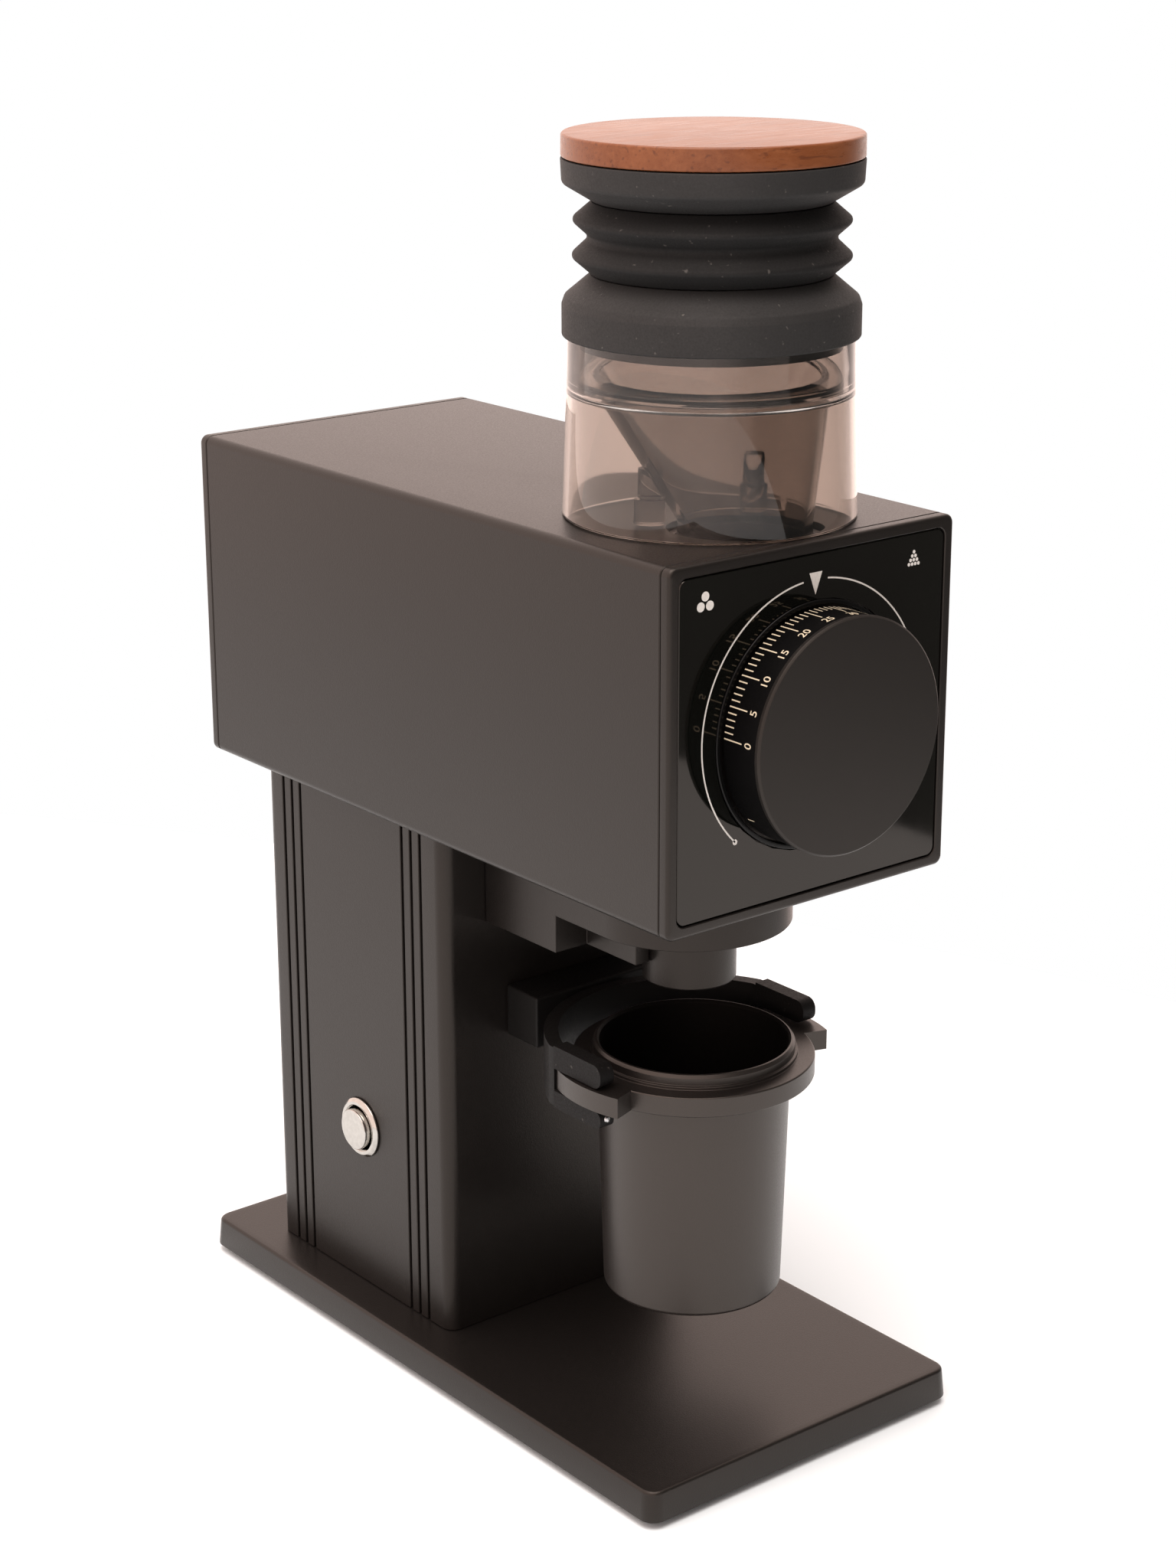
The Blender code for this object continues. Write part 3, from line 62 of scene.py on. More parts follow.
TURN_Y = Matrix.Rotation(math.radians(90), 4, "X")      # local +Z looks towards -Y
TURN_X = Matrix.Rotation(math.radians(-90), 4, "Y")     # local +Z looks towards -X
TURN_BACK = Matrix.Rotation(math.radians(-90), 4, "X")  # local +Z looks towards +Y

# ---- where things are, from the CAD ----
HEAD_LOW, HEAD_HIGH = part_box("head_shell")
BEZEL_LOW, BEZEL_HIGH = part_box("front_bezel")
COVER_LOW, COVER_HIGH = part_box("rear_cover")
COLUMN_LOW, COLUMN_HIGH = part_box("column")
BASE_LOW, BASE_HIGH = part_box("base_plate")
CUP_LOW, CUP_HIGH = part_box("dosing_cup")
FORK_LOW, FORK_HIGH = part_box("cup_fork")
SPOUT_LOW, SPOUT_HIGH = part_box("spout")
CHUTE_LOW, CHUTE_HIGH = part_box("chute_housing")
WALL_LOW, WALL_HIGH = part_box("hopper_wall")
FUNNEL_LOW, FUNNEL_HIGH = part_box("hopper_funnel")
CUFF_LOW, CUFF_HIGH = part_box("bellows_cuff_lower")
FOLDS_LOW, FOLDS_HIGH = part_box("bellows_folds")
TOP_LOW, TOP_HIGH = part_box("bellows_cuff_upper")
LID_LOW, LID_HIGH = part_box("wood_lid")
CAP_LOW, CAP_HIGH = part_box("dial_cap")
SKIRT_LOW, SKIRT_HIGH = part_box("dial_skirt")
PLUNGER_LOW, PLUNGER_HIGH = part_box("button_plunger")

FRONT = BEZEL_LOW.y
HALF_W = BEZEL_HIGH.x
HALF_H = (BEZEL_HIGH.z - BEZEL_LOW.z) / 2
AXIS_Z = (BEZEL_HIGH.z + BEZEL_LOW.z) / 2
HEAD_TOP = BEZEL_HIGH.z
HEAD_BOTTOM = BEZEL_LOW.z
HOPPER_Y = (WALL_LOW.y + WALL_HIGH.y) / 2
SPOUT_Y = (SPOUT_LOW.y + SPOUT_HIGH.y) / 2
THROAT_Y = sum(corner.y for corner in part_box("feed_gasket")) / 2
CUP_Y = (CUP_LOW.y + CUP_HIGH.y) / 2
BUTTON_Y = (PLUNGER_LOW.y + PLUNGER_HIGH.y) / 2
BUTTON_Z = (PLUNGER_LOW.z + PLUNGER_HIGH.z) / 2


# ---- mesh tools ----
def rounded(corners, steps=6, closed=True):
    """Points of a polygon whose corners (x, y, radius) are rounded."""
    points = []
    last = len(corners) - 1
    for i, (x, y, radius) in enumerate(corners):
        if radius <= 0 or (not closed and i in (0, last)):
            points.append((x, y))
            continue
        corner = Vector((x, y))
        before = Vector(corners[i - 1][:2]) - corner
        after = Vector(corners[(i + 1) % len(corners)][:2]) - corner
        room = 0.49 * min(before.length, after.length)
        before.normalize()
        after.normalize()
        half = before.angle(after) / 2
        reach = min(radius / math.tan(half), room)
        radius = reach * math.tan(half)
        centre = corner + (before + after).normalized() * (radius / math.sin(half))
        start = corner + before * reach - centre
        end = corner + after * reach - centre
        first = math.atan2(start.y, start.x)
        turn = math.atan2(start.x * end.y - start.y * end.x, start.dot(end))
        for k in range(steps + 1):
            angle = first + turn * k / steps
            points.append((centre.x + radius * math.cos(angle), centre.y + radius * math.sin(angle)))
    return points


def arc(cx, cy, radius, start, end, steps):
    """Points on an arc given in degrees, both ends included."""
    angles = [math.radians(start + (end - start) * i / steps) for i in range(steps + 1)]
    return [(cx + radius * math.cos(a), cy + radius * math.sin(a)) for a in angles]


def rectangle(half_x, half_y, radius, steps=8):
    """A centred rectangle with rounded corners."""
    return rounded([(half_x, -half_y, radius), (half_x, half_y, radius),
                    (-half_x, half_y, radius), (-half_x, -half_y, radius)], steps)


def shaded(mesh, angle=32):
    """Smooth shading that keeps sharp edges above an angle."""
    mesh.shade_smooth()
    mesh.set_sharp_from_angle(angle=math.radians(angle))
    return mesh


def mesh_from(bm, name):
    """A finished mesh with its faces pointing out."""
    bmesh.ops.recalc_face_normals(bm, faces=bm.faces)
    mesh = bpy.data.meshes.new(name)
    bm.to_mesh(mesh)
    bm.free()
    return shaded(mesh)


def lathe(name, profile, steps=96, closed=True):
    """A turned mesh about local Z; a closed profile makes a ring, an open one ends on the axis."""
    bm = bmesh.new()
    rings = []
    for radius, z in profile:
        if radius < ON_AXIS:
            rings.append([bm.verts.new((0, 0, z))])
            continue
        turn = [2 * math.pi * i / steps for i in range(steps)]
        rings.append([bm.verts.new((radius * math.cos(a), radius * math.sin(a), z)) for a in turn])
    pairs = list(zip(rings, rings[1:]))
    if closed:
        pairs.append((rings[-1], rings[0]))
    for upper, lower in pairs:
        for i in range(steps):
            j = (i + 1) % steps
            corners = [upper[i % len(upper)], lower[i % len(lower)], lower[j % len(lower)],
                       upper[j % len(upper)]]
            face = list(dict.fromkeys(corners))
            if len(face) > 2:
                bm.faces.new(face)
    return mesh_from(bm, name)


def loft(name, rings, capped=True):
    """A mesh through rings of equally many points; uncapped rings close back on the first."""
    bm = bmesh.new()
    loops = [[bm.verts.new(p) for p in ring] for ring in rings]
    pairs = list(zip(loops, loops[1:])) + ([] if capped else [(loops[-1], loops[0])])
    for a, b in pairs:
        for i in range(len(a)):
            j = (i + 1) % len(a)
            bm.faces.new((a[i], b[i], b[j], a[j]))
    if capped:
        bm.faces.new(loops[0])
        bm.faces.new(loops[-1])
    return mesh_from(bm, name)


def prism(name, outline, low, high):
    """An outline in XY extruded from one height to another."""
    return loft(name, [[(x, y, low) for x, y in outline], [(x, y, high) for x, y in outline]])


def turned(name, profile, steps=96, closed=True):
    """A turned mesh from a profile in millimetres."""
    return lathe(name, [(r * MM, h * MM) for r, h in profile], steps, closed)


def block(name, low, high):
    """A box between two corners."""
    outline = [(low[0], low[1]), (high[0], low[1]), (high[0], high[1]), (low[0], high[1])]
    return prism(name, outline, low[2], high[2])


def drill(radius, low, high, place, steps=64):
    """A closed round cutter from low to high along the local Z of its place."""
    mesh = lathe("drill", [(0, high), (radius, high), (radius, low), (0, low)], steps, closed=False)
    mesh.transform(place)
    return mesh


def at(x, y, z):
    """A move to a place."""
    return Matrix.Translation((x, y, z))


def holder(mesh, place=None):
    """An object for a mesh, in the scene."""
    made = bpy.data.objects.new(mesh.name, mesh)
    bpy.context.scene.collection.objects.link(made)
    if place is not None:
        made.matrix_world = place
    return made


def settle(obj):
    """Apply every modifier of an object."""
    graph = bpy.context.evaluated_depsgraph_get()
    mesh = bpy.data.meshes.new_from_object(obj.evaluated_get(graph))
    obj.modifiers.clear()
    obj.data = mesh


def combine(obj, operation, meshes):
    """Union with, or take away, several meshes in turn."""
    for mesh in meshes:
        tool = holder(mesh)
        step = obj.modifiers.new("step", "BOOLEAN")
        step.operation = operation
        step.solver = "EXACT"
        step.object = tool
        bpy.context.view_layer.update()
        settle(obj)
        bpy.data.objects.remove(tool, do_unlink=True)


def soften(obj, width, segments=3, angle=40):
    """Round every edge sharper than an angle, and keep flat faces flat in shading."""
    bevel = obj.modifiers.new("edges", "BEVEL")
    bevel.width = width
    bevel.segments = segments
    bevel.limit_method = "ANGLE"
    bevel.angle_limit = math.radians(angle)
    bevel.use_clamp_overlap = True
    bpy.context.view_layer.update()
    settle(obj)
    obj.data.shade_smooth()
    normals = obj.modifiers.new("normals", "WEIGHTED_NORMAL")
    normals.keep_sharp = True
    normals.weight = 80


def dress(obj, name, material, body, slot, *nodes):
    """Name a piece, give it its material, tie it to its body and hide the CAD nodes it stands for; the slot
    argument is not used.
    """
    obj.name = name
    obj.data.materials.clear()
    obj.data.materials.append(material)
    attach(obj, body)
    if nodes:
        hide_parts(*nodes)
    return obj


# ---- materials ----
def shader_of(name, **sockets):
    """A new Principled material with its constant sockets set."""
    made = bpy.data.materials.new(name)
    made.use_nodes = True
    shader = made.node_tree.nodes["Principled BSDF"]
    for socket, value in sockets.items():
        shader.inputs[socket.replace("_", " ")].default_value = value
    return made, made.node_tree, shader


def node(tree, kind, **values):
    """A shader node with its properties and input sockets set."""
    made = tree.nodes.new(kind)
    for key, value in values.items():
        if key in made.inputs:
            made.inputs[key].default_value = value
        else:
            setattr(made, key, value)
    return made


def noise(tree, scale, detail=3.0, roughness=0.5, stretch=(1, 1, 1), w=0.0):
    """Noise on object coordinates, stretched along chosen axes; gives its factor socket."""
    coords = node(tree, "ShaderNodeTexCoord")
    mapping = node(tree, "ShaderNodeMapping", Scale=stretch, Location=(w, w, w))
    texture = node(tree, "ShaderNodeTexNoise", Scale=scale, Detail=detail, Roughness=roughness)
    tree.links.new(coords.outputs["Object"], mapping.inputs["Vector"])
    tree.links.new(mapping.outputs["Vector"], texture.inputs["Vector"])
    return texture.outputs["Fac"]


def ramp(tree, source, *stops):
    """A colour ramp over a factor; stops are (position, colour)."""
    made = node(tree, "ShaderNodeValToRGB")
    elements = made.color_ramp.elements
    while len(elements) < len(stops):
        elements.new(0.5)
    for element, (position, colour) in zip(elements, stops):
        element.position = position
        element.color = (*colour, 1.0)
    tree.links.new(source, made.inputs["Fac"])
    return made.outputs["Color"]


def levels(tree, source, low, high, out_low, out_high, smooth=False):
    """A factor mapped from one range to another, straight or along a smooth curve."""
    made = node(tree, "ShaderNodeMapRange", interpolation_type="SMOOTHSTEP" if smooth else "LINEAR")
    for socket, value in (("From Min", low), ("From Max", high), ("To Min", out_low), ("To Max", out_high)):
        made.inputs[socket].default_value = value
    tree.links.new(source, made.inputs["Value"])
    return made.outputs["Result"]


def mixed(tree, factor, a, b):
    """Two colour sockets mixed by a factor socket."""
    made = tree.nodes.new("ShaderNodeMix")
    made.data_type = "RGBA"
    tree.links.new(factor, made.inputs[0])
    tree.links.new(a, made.inputs[6])
    tree.links.new(b, made.inputs[7])
    return made.outputs[2]


def bumped(tree, shader, *layers):
    """Bump layers (height socket, strength, distance) stacked on a shader's normal."""
    previous = None
    for height, strength, distance in layers:
        bump = node(tree, "ShaderNodeBump", Strength=strength, Distance=distance)
        tree.links.new(height, bump.inputs["Height"])
        if previous:
            tree.links.new(previous, bump.inputs["Normal"])
        previous = bump.outputs["Normal"]
    tree.links.new(previous, shader.inputs["Normal"])


def tint(colour, factor):
    """A colour made lighter or darker."""
    return tuple(min(1.0, c * factor) for c in colour)


def follow(tree, shader, pattern, colour, dark, light, rough):
    """Colour from darker to lighter, and roughness, both following one pattern."""
    shades = ramp(tree, pattern, (0.3, tint(colour, dark)), (0.7, tint(colour, light)))
    tree.links.new(shades, shader.inputs["Base Color"])
    tree.links.new(levels(tree, pattern, 0.3, 0.7, *rough), shader.inputs["Roughness"])


COAT_TINT = (1.0, 0.89, 0.81, 1.0)
PLAIN_TINT = (1.0, 1.0, 1.0, 1.0)


def powder_coat(name, colour, grain=2300.0, rough=(0.30, 0.42), bump=0.26, level=0.36):
    """Fine textured powder coat: speckled colour, uneven sheen and a pebbled surface."""
    made, tree, shader = shader_of(name, Specular_IOR_Level=level, Specular_Tint=COAT_TINT)
    fine = noise(tree, grain, 3.0, 0.6)
    broad = noise(tree, 16.0, 4.0, 0.6)
    speckle = ramp(tree, fine, (0.32, tint(colour, 0.80)), (0.55, colour), (0.74, tint(colour, 1.45)))
    cloud = ramp(tree, broad, (0.3, tint(colour, 0.92)), (0.7, tint(colour, 1.10)))
    blend = levels(tree, noise(tree, 90.0, 2.0), 0.3, 0.7, 0.2, 0.5)
    tree.links.new(mixed(tree, blend, speckle, cloud), shader.inputs["Base Color"])
    tree.links.new(levels(tree, fine, 0.3, 0.7, *rough), shader.inputs["Roughness"])
    bumped(tree, shader, (fine, bump, 0.00012), (broad, 0.05, 0.0006))
    return made


def rubber(name, colour, rough=(0.62, 0.8), dust=0.5, level=0.35):
    """Matt rubber with a soft bloom and specks of pale dust."""
    made, tree, shader = shader_of(name, Specular_IOR_Level=level)
    cloud = noise(tree, 30.0, 5.0, 0.62)
    bloom = ramp(tree, cloud, (0.3, tint(colour, 0.85)), (0.72, tint(colour, 1.35)))
    dusty = ramp(tree, cloud, (0.3, (0.16, 0.15, 0.14)), (0.7, (0.28, 0.26, 0.24)))
    specks = levels(tree, noise(tree, 620.0, 2.0, 0.5, w=0.31), 0.70, 0.76, 0.0, dust)
    tree.links.new(mixed(tree, specks, bloom, dusty), shader.inputs["Base Color"])
    fine = noise(tree, 1800.0, 3.0, 0.6)
    tree.links.new(levels(tree, fine, 0.3, 0.7, *rough), shader.inputs["Roughness"])
    bumped(tree, shader, (fine, 0.12, 0.0001))
    return made


def wood(name):
    """Oiled reddish brown wood with long grain along X, and pores."""
    made, tree, shader = shader_of(name, Specular_IOR_Level=0.32)
    bands = noise(tree, 60.0, 6.0, 0.62, stretch=(0.30, 1.0, 1.0))
    fibre = noise(tree, 700.0, 4.0, 0.65, stretch=(0.12, 1.0, 1.0), w=0.17)
    pores = noise(tree, 900.0, 2.0, 0.5, stretch=(0.09, 1.0, 1.0), w=0.05)
    body = ramp(tree, bands, (0.28, (0.130, 0.036, 0.011)), (0.5, (0.176, 0.054, 0.018)),
                (0.72, (0.222, 0.075, 0.027)))
    streak = ramp(tree, fibre, (0.3, (0.112, 0.032, 0.010)), (0.7, (0.235, 0.083, 0.031)))
    base = mixed(tree, levels(tree, fibre, 0.3, 0.7, 0.15, 0.55), body, streak)
    dark = ramp(tree, pores, (0.0, (0.070, 0.020, 0.009)), (1.0, (0.095, 0.028, 0.012)))
    mask = levels(tree, pores, 0.30, 0.40, 0.6, 0.0)
    tree.links.new(mixed(tree, mask, base, dark), shader.inputs["Base Color"])
    tree.links.new(levels(tree, fibre, 0.3, 0.7, 0.24, 0.38), shader.inputs["Roughness"])
    bumped(tree, shader, (fibre, 0.12, 0.0002), (mask, 0.15, -0.0001))
    return made


def smoked(name, colour):
    """Clear tinted plastic, with the faint waviness of a moulded wall."""
    made, tree, shader = shader_of(name, Transmission_Weight=1.0, IOR=1.45)
    wave = noise(tree, 22.0, 2.0, 0.5)
    tree.links.new(ramp(tree, wave, (0.3, tint(colour, 0.97)), (0.7, tint(colour, 1.02))),
                   shader.inputs["Base Color"])
    tree.links.new(levels(tree, noise(tree, 60.0, 3.0), 0.3, 0.7, 0.02, 0.05), shader.inputs["Roughness"])
    bumped(tree, shader, (wave, 0.04, 0.0006))
    return made


def gloss(name, colour, rough=(0.03, 0.07), level=0.5, shine=PLAIN_TINT):
    """Polished plastic or glass-like lacquer with faint smudges in its gloss."""
    made, tree, shader = shader_of(name, Specular_IOR_Level=level, Specular_Tint=shine)
    smudge = noise(tree, 40.0, 4.0, 0.6)
    follow(tree, shader, smudge, colour, 0.9, 1.2, rough)
    bumped(tree, shader, (noise(tree, 12.0, 2.0), 0.02, 0.0004))
    return made


def satin(name, colour, rough=(0.38, 0.55), scale=1500.0, level=0.5):
    """Moulded satin plastic."""
    made, tree, shader = shader_of(name, Specular_IOR_Level=level)
    fine = noise(tree, scale, 3.0, 0.6)
    follow(tree, shader, fine, colour, 0.85, 1.18, rough)
    bumped(tree, shader, (fine, 0.08, 0.0001))
    return made


def metal(name, colour, rough=(0.12, 0.22), stretch=(1, 1, 1), scale=600.0):
    """Machined or plated metal with fine tool marks."""
    made, tree, shader = shader_of(name, Metallic=1.0)
    marks = noise(tree, scale, 4.0, 0.6, stretch=stretch)
    follow(tree, shader, marks, colour, 0.88, 1.06, rough)
    bumped(tree, shader, (marks, 0.06, 0.0001))
    return made


def printed(name, colour):
    """Screen-printed ink, slightly uneven."""
    made, tree, shader = shader_of(name, Specular_IOR_Level=0.3)
    follow(tree, shader, noise(tree, 1200.0, 3.0, 0.6), colour, 0.88, 1.05, (0.45, 0.6))
    return made


COAT = powder_coat("powder_coat", (0.0075, 0.0066, 0.0062))
COAT_CUP = powder_coat("powder_coat_cup", (0.0120, 0.0104, 0.0098), bump=0.14, level=0.62)
COAT_CAP = powder_coat("anodised_cap", (0.0065, 0.0060, 0.0056), grain=3200.0, rough=(0.42, 0.52),
                       bump=0.10, level=0.38)
# painted shade: a much darker, less shiny copy of the coat for the cup's inner faces, standing in for the
# shade inside the cup
CUP_INSIDE_SHADE = powder_coat("cup_inside_painted_shade", (0.0030, 0.0028, 0.0026), rough=(0.45, 0.60), level=0.10)
RUBBER = rubber("bellows_rubber", (0.0150, 0.0148, 0.0148), dust=0.3, level=0.36)
# painted shade: a darker, less shiny copy of the cuffs' rubber for the folds, standing in for the shade in
# their valleys; the bellows is one moulding
FOLD_SHADE_RUBBER = rubber("fold_rubber_painted_shade", (0.0070, 0.0070, 0.0071), dust=0.25, level=0.24)
PAD_RUBBER = rubber("pad_rubber", (0.0048, 0.0044, 0.0044), rough=(0.5, 0.7), dust=0.2, level=0.16)
FOOT_RUBBER = rubber("foot_rubber", (0.018, 0.018, 0.018), dust=0.2)
WOOD = wood("lid_wood")
SMOKED = smoked("smoked_plastic", (0.55, 0.51, 0.48))
PANEL_GLOSS = gloss("panel_gloss", (0.0030, 0.0033, 0.0028), level=0.40, shine=(1.0, 0.90, 0.83, 1.0))
RING_GLOSS = gloss("ring_gloss", (0.003, 0.003, 0.003), rough=(0.20, 0.30), level=0.15)
BLACK_SATIN = satin("black_satin", (0.0060, 0.0058, 0.0056), level=0.3)
DIAL_BLACK = satin("dial_black", (0.0022, 0.0022, 0.0023), rough=(0.45, 0.6), level=0.05)
FORK_SATIN = satin("fork_satin", (0.0060, 0.0057, 0.0055), rough=(0.45, 0.6), level=0.15)
NICKEL = metal("nickel", (0.50, 0.48, 0.45), rough=(0.08, 0.14))
STEEL = metal("steel", (0.56, 0.56, 0.57), rough=(0.22, 0.36))
TOOL_STEEL = metal("tool_steel", (0.33, 0.33, 0.35), rough=(0.28, 0.42))
CAST = metal("cast_aluminium", (0.48, 0.48, 0.49), rough=(0.42, 0.6), scale=900.0)
BRASS = metal("brass", (0.68, 0.50, 0.22), rough=(0.2, 0.32))
COPPER = metal("copper", (0.60, 0.28, 0.14), rough=(0.25, 0.4), stretch=(1, 1, 6))
NYLON = satin("nylon", (0.62, 0.60, 0.53))
BOARD = satin("circuit_board", (0.025, 0.13, 0.055), rough=(0.3, 0.45), scale=400.0)
BLACK_STEEL = metal("blackened_steel", (0.06, 0.06, 0.065), rough=(0.35, 0.5))
INK = printed("panel_ink", (0.66, 0.65, 0.62))
SCALE_INK = printed("scale_ink", (0.62, 0.55, 0.41))

CAD_MATERIALS = {
    "powder_coat_steel": COAT, "powder_coat_aluminium": COAT, "black_plastic": BLACK_SATIN,
    "glossy_panel": PANEL_GLOSS, "smoked_plastic": SMOKED, "rubber": RUBBER, "wood": WOOD,
    "nickel": NICKEL, "circuit_board": BOARD, "cast_aluminium": CAST, "steel": STEEL,
    "tool_steel": TOOL_STEEL, "nylon": NYLON, "motor_steel": BLACK_STEEL, "copper": COPPER,
    "brass": BRASS,
}
for entry in frame["record"]["subparts"]:
    finish = CAD_MATERIALS[entry["material_slot"]]
    for material_slot in frame["nodes"][entry["node"]].material_slots:
        material_slot.material = finish


# ---- base, feet and column ----
CORNERS = ("front_left", "front_right", "rear_left", "rear_right")


def hex_socket(screw, radius, low, high):
    """Cut a hexagon socket into a screw's head, along its local Z."""
    combine(screw, "DIFFERENCE", [prism("hex", arc(0, 0, radius, 0, 300, 5), low, high)])
    shaded(screw.data, 30)


def build_base_screw(corner, plate):
    """Countersunk screw with a hexagon socket, seen under the base, and its hole in the plate."""
    low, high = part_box("base_screw_" + corner)
    middle = (low + high) / 2
    length = (high.z - low.z) / MM
    place = at(middle.x, middle.y, low.z)
    body = [(0, length), (1.9, length), (1.9, 2.3), (4.0, 0.12), (3.9, 0), (0, 0)]
    hole = [(0, length), (2.0, length), (2.0, 2.4), (4.1, 0.1), (4.1, -2.0), (0, -2.0)]
    cutter = turned("screw_hole", hole, 64, closed=False)
    cutter.transform(place)
    combine(plate, "DIFFERENCE", [cutter])
    screw = holder(turned("base_screw", body, 48, closed=False))
    hex_socket(screw, 1.45 * MM, -1 * MM, 1.5 * MM)
    screw.data.transform(place)
    dress(screw, "Base_screw_" + corner, STEEL, "frame", "steel", "base_screw_" + corner)


def build_base():
    """Drafted plate with softly rounded top edges and corners, its screws, and the feet."""
    half_x, half_y = BASE_HIGH.x, (BASE_HIGH.y - BASE_LOW.y) / 2
    middle = (BASE_HIGH.y + BASE_LOW.y) / 2
    draft, corner, top_round, bottom_round = 0.6 * MM, 4.5 * MM, 1.0 * MM, 0.4 * MM
    low, high = BASE_LOW.z, BASE_HIGH.z
    flat = 1.5 * MM
    insets = [(bottom_round + flat, low)]
    for a in (0, 30, 60, 90):
        turn = math.radians(a)
        insets.append((bottom_round * (1 - math.sin(turn)), low + bottom_round * (1 - math.cos(turn))))
    for a in range(0, 91, 15):
        turn = math.radians(a)
        insets.append((draft + top_round * (1 - math.cos(turn)), high - top_round * (1 - math.sin(turn))))
    insets.append((draft + top_round + flat, high))
    rings = []
    for inset, z in insets:
        rings.append([(x, middle + y, z) for x, y in
                      rectangle(half_x - inset, half_y - inset, corner - 0.5 * inset)])
    plate = holder(loft("base", rings))
    for corner_name in CORNERS:
        build_base_screw(corner_name, plate)
    shaded(plate.data, 30)
    dress(plate, "Base_plate", COAT, "frame", "powder_coat_steel", "base_plate")
    for corner_name in CORNERS:
        foot_low, foot_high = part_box("foot_" + corner_name)
        r = (foot_high.x - foot_low.x) / 2
        h = foot_high.z - foot_low.z
        profile = [(0, h), (r * 0.9, h), (r, h * 0.8), (r, 0.5 * MM), (r - 0.2 * MM, 0.15 * MM),
                   (r - 0.6 * MM, 0), (0, 0)]
        centre = (foot_low + foot_high) / 2
        foot = holder(lathe("foot", profile, 48, closed=False), at(centre.x, centre.y, foot_low.z))
        dress(foot, "Foot_" + corner_name, FOOT_RUBBER, "frame", "rubber", "foot_" + corner_name)


GROOVE_WIDTH, GROOVE_DEPTH, GROOVE_PITCH = 1.2 * MM, 0.9 * MM, 4.3 * MM
GROOVE_CENTRES = (COLUMN_LOW.y + 14.9 * MM, COLUMN_LOW.y + 74.0 * MM)


def column_outline(wall):
    """Outline of the column with chamfered grooves in both sides, or of its bore, one wall inside."""
    w, y0, y1, r = COLUMN_HIGH.x, COLUMN_LOW.y, COLUMN_HIGH.y, 4.0 * MM
    half, lip = GROOVE_WIDTH / 2, 0.18 * MM
    side = []
    for centre in GROOVE_CENTRES:
        for i in (-1, 0, 1):
            y = centre + i * GROOVE_PITCH
            side += [(0, y - half - lip), (lip, y - half), (GROOVE_DEPTH, y - half),
                     (GROOVE_DEPTH, y + half), (lip, y + half), (0, y + half + lip)]
    side = [(w - (wall or depth), y) for depth, y in side]
    right = arc(w - r, y0 + r, r - wall, -90, 0, 10) + side + arc(w - r, y1 - r, r - wall, 0, 90, 10)
    left = [(-x, y) for x, y in reversed(right)]
    return right + left


def build_column():
    """Hollow grooved column, open at the rear for the inlet and at the side for the button."""
    w, y1, wall = COLUMN_HIGH.x, COLUMN_HIGH.y, 3.0 * MM
    low, high = COLUMN_LOW.z, COLUMN_HIGH.z
    rings = [[(x, y, z) for x, y in column_outline(inset)]
             for inset, z in ((0, low), (0, high), (wall, high), (wall, low))]
    column = holder(loft("column_mesh", rings, capped=False))
    inlet_low, inlet_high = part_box("power_inlet")
    mid_z = (inlet_low.z + inlet_high.z) / 2
    inlet = block("inlet_cut", (-14.0 * MM, y1 - 8 * MM, mid_z - 10.3 * MM),
                  (14.0 * MM, y1 + 5 * MM, mid_z + 10.3 * MM))
    hole = drill(8.1 * MM, -20 * MM, 20 * MM, at(-w, BUTTON_Y, BUTTON_Z) @ TURN_X)
    combine(column, "DIFFERENCE", [inlet, hole])
    shaded(column.data, 25)
    dress(column, "Column", COAT, "frame", "powder_coat_aluminium", "column")


def build_button():
    """Nickel push button: stepped bezel ring and a flat sprung plunger."""
    place = at(COLUMN_LOW.x, BUTTON_Y, BUTTON_Z) @ TURN_X
    bezel_low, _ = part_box("button_bezel")
    proud = (COLUMN_LOW.x - bezel_low.x) / MM
    ring = rounded([(8.0, proud, 0.25), (9.0, 0.7, 0.3), (9.0, 0.3, 0), (7.8, 0.3, 0), (7.8, -20, 0),
                    (5.0, -20, 0), (5.0, -8.0, 0), (6.65, -8.0, 0), (6.65, proud - 0.5, 0.12),
                    (7.15, proud, 0.12)], 4)
    bezel = holder(turned("bezel", ring, 128), place)
    dress(bezel, "Button_bezel", NICKEL, "frame", "nickel", "button_bezel")
    face = (COLUMN_LOW.x - PLUNGER_LOW.x) / MM
    body = rounded([(0, face, 0), (6.05, face, 0.3), (6.05, -5.5, 0), (3.0, -5.5, 0), (3.0, -11, 0),
                    (0, -11, 0)], 5, closed=False)
    plunger = holder(turned("plunger", body, 128, closed=False), place)
    dress(plunger, "Button_plunger", NICKEL, "button", "nickel", "button_plunger")


# ---- head ----
EDGE_R, FACE_R = 2.3 * MM, 1.1 * MM
CHAMFER = 0.25 * MM
OUTLINE = rectangle(HALF_W, HALF_H, EDGE_R)
INSET = rectangle(HALF_W - CHAMFER, HALF_H - CHAMFER, EDGE_R - CHAMFER)


def upright(points, y):
    """Outline points in X and Z, about the head's axis, at one depth."""
    return [(x, y, AXIS_Z + z) for x, z in points]


def face_rings(joint_y, face_y):
    """Rings of an end piece, from its chamfered joint to the rounded edge of its face."""
    way = 1 if face_y > joint_y else -1
    rings = [upright(INSET, joint_y), upright(OUTLINE, joint_y + way * CHAMFER)]
    for a in range(0, 91, 15):
        back = FACE_R * (1 - math.cos(math.radians(a)))
        ahead = FACE_R * (1 - math.sin(math.radians(a)))
        ring = rectangle(HALF_W - back, HALF_H - back, max(EDGE_R - back * 0.6, 0.6 * MM))
        rings.append(upright(ring, face_y - way * ahead))
    return rings


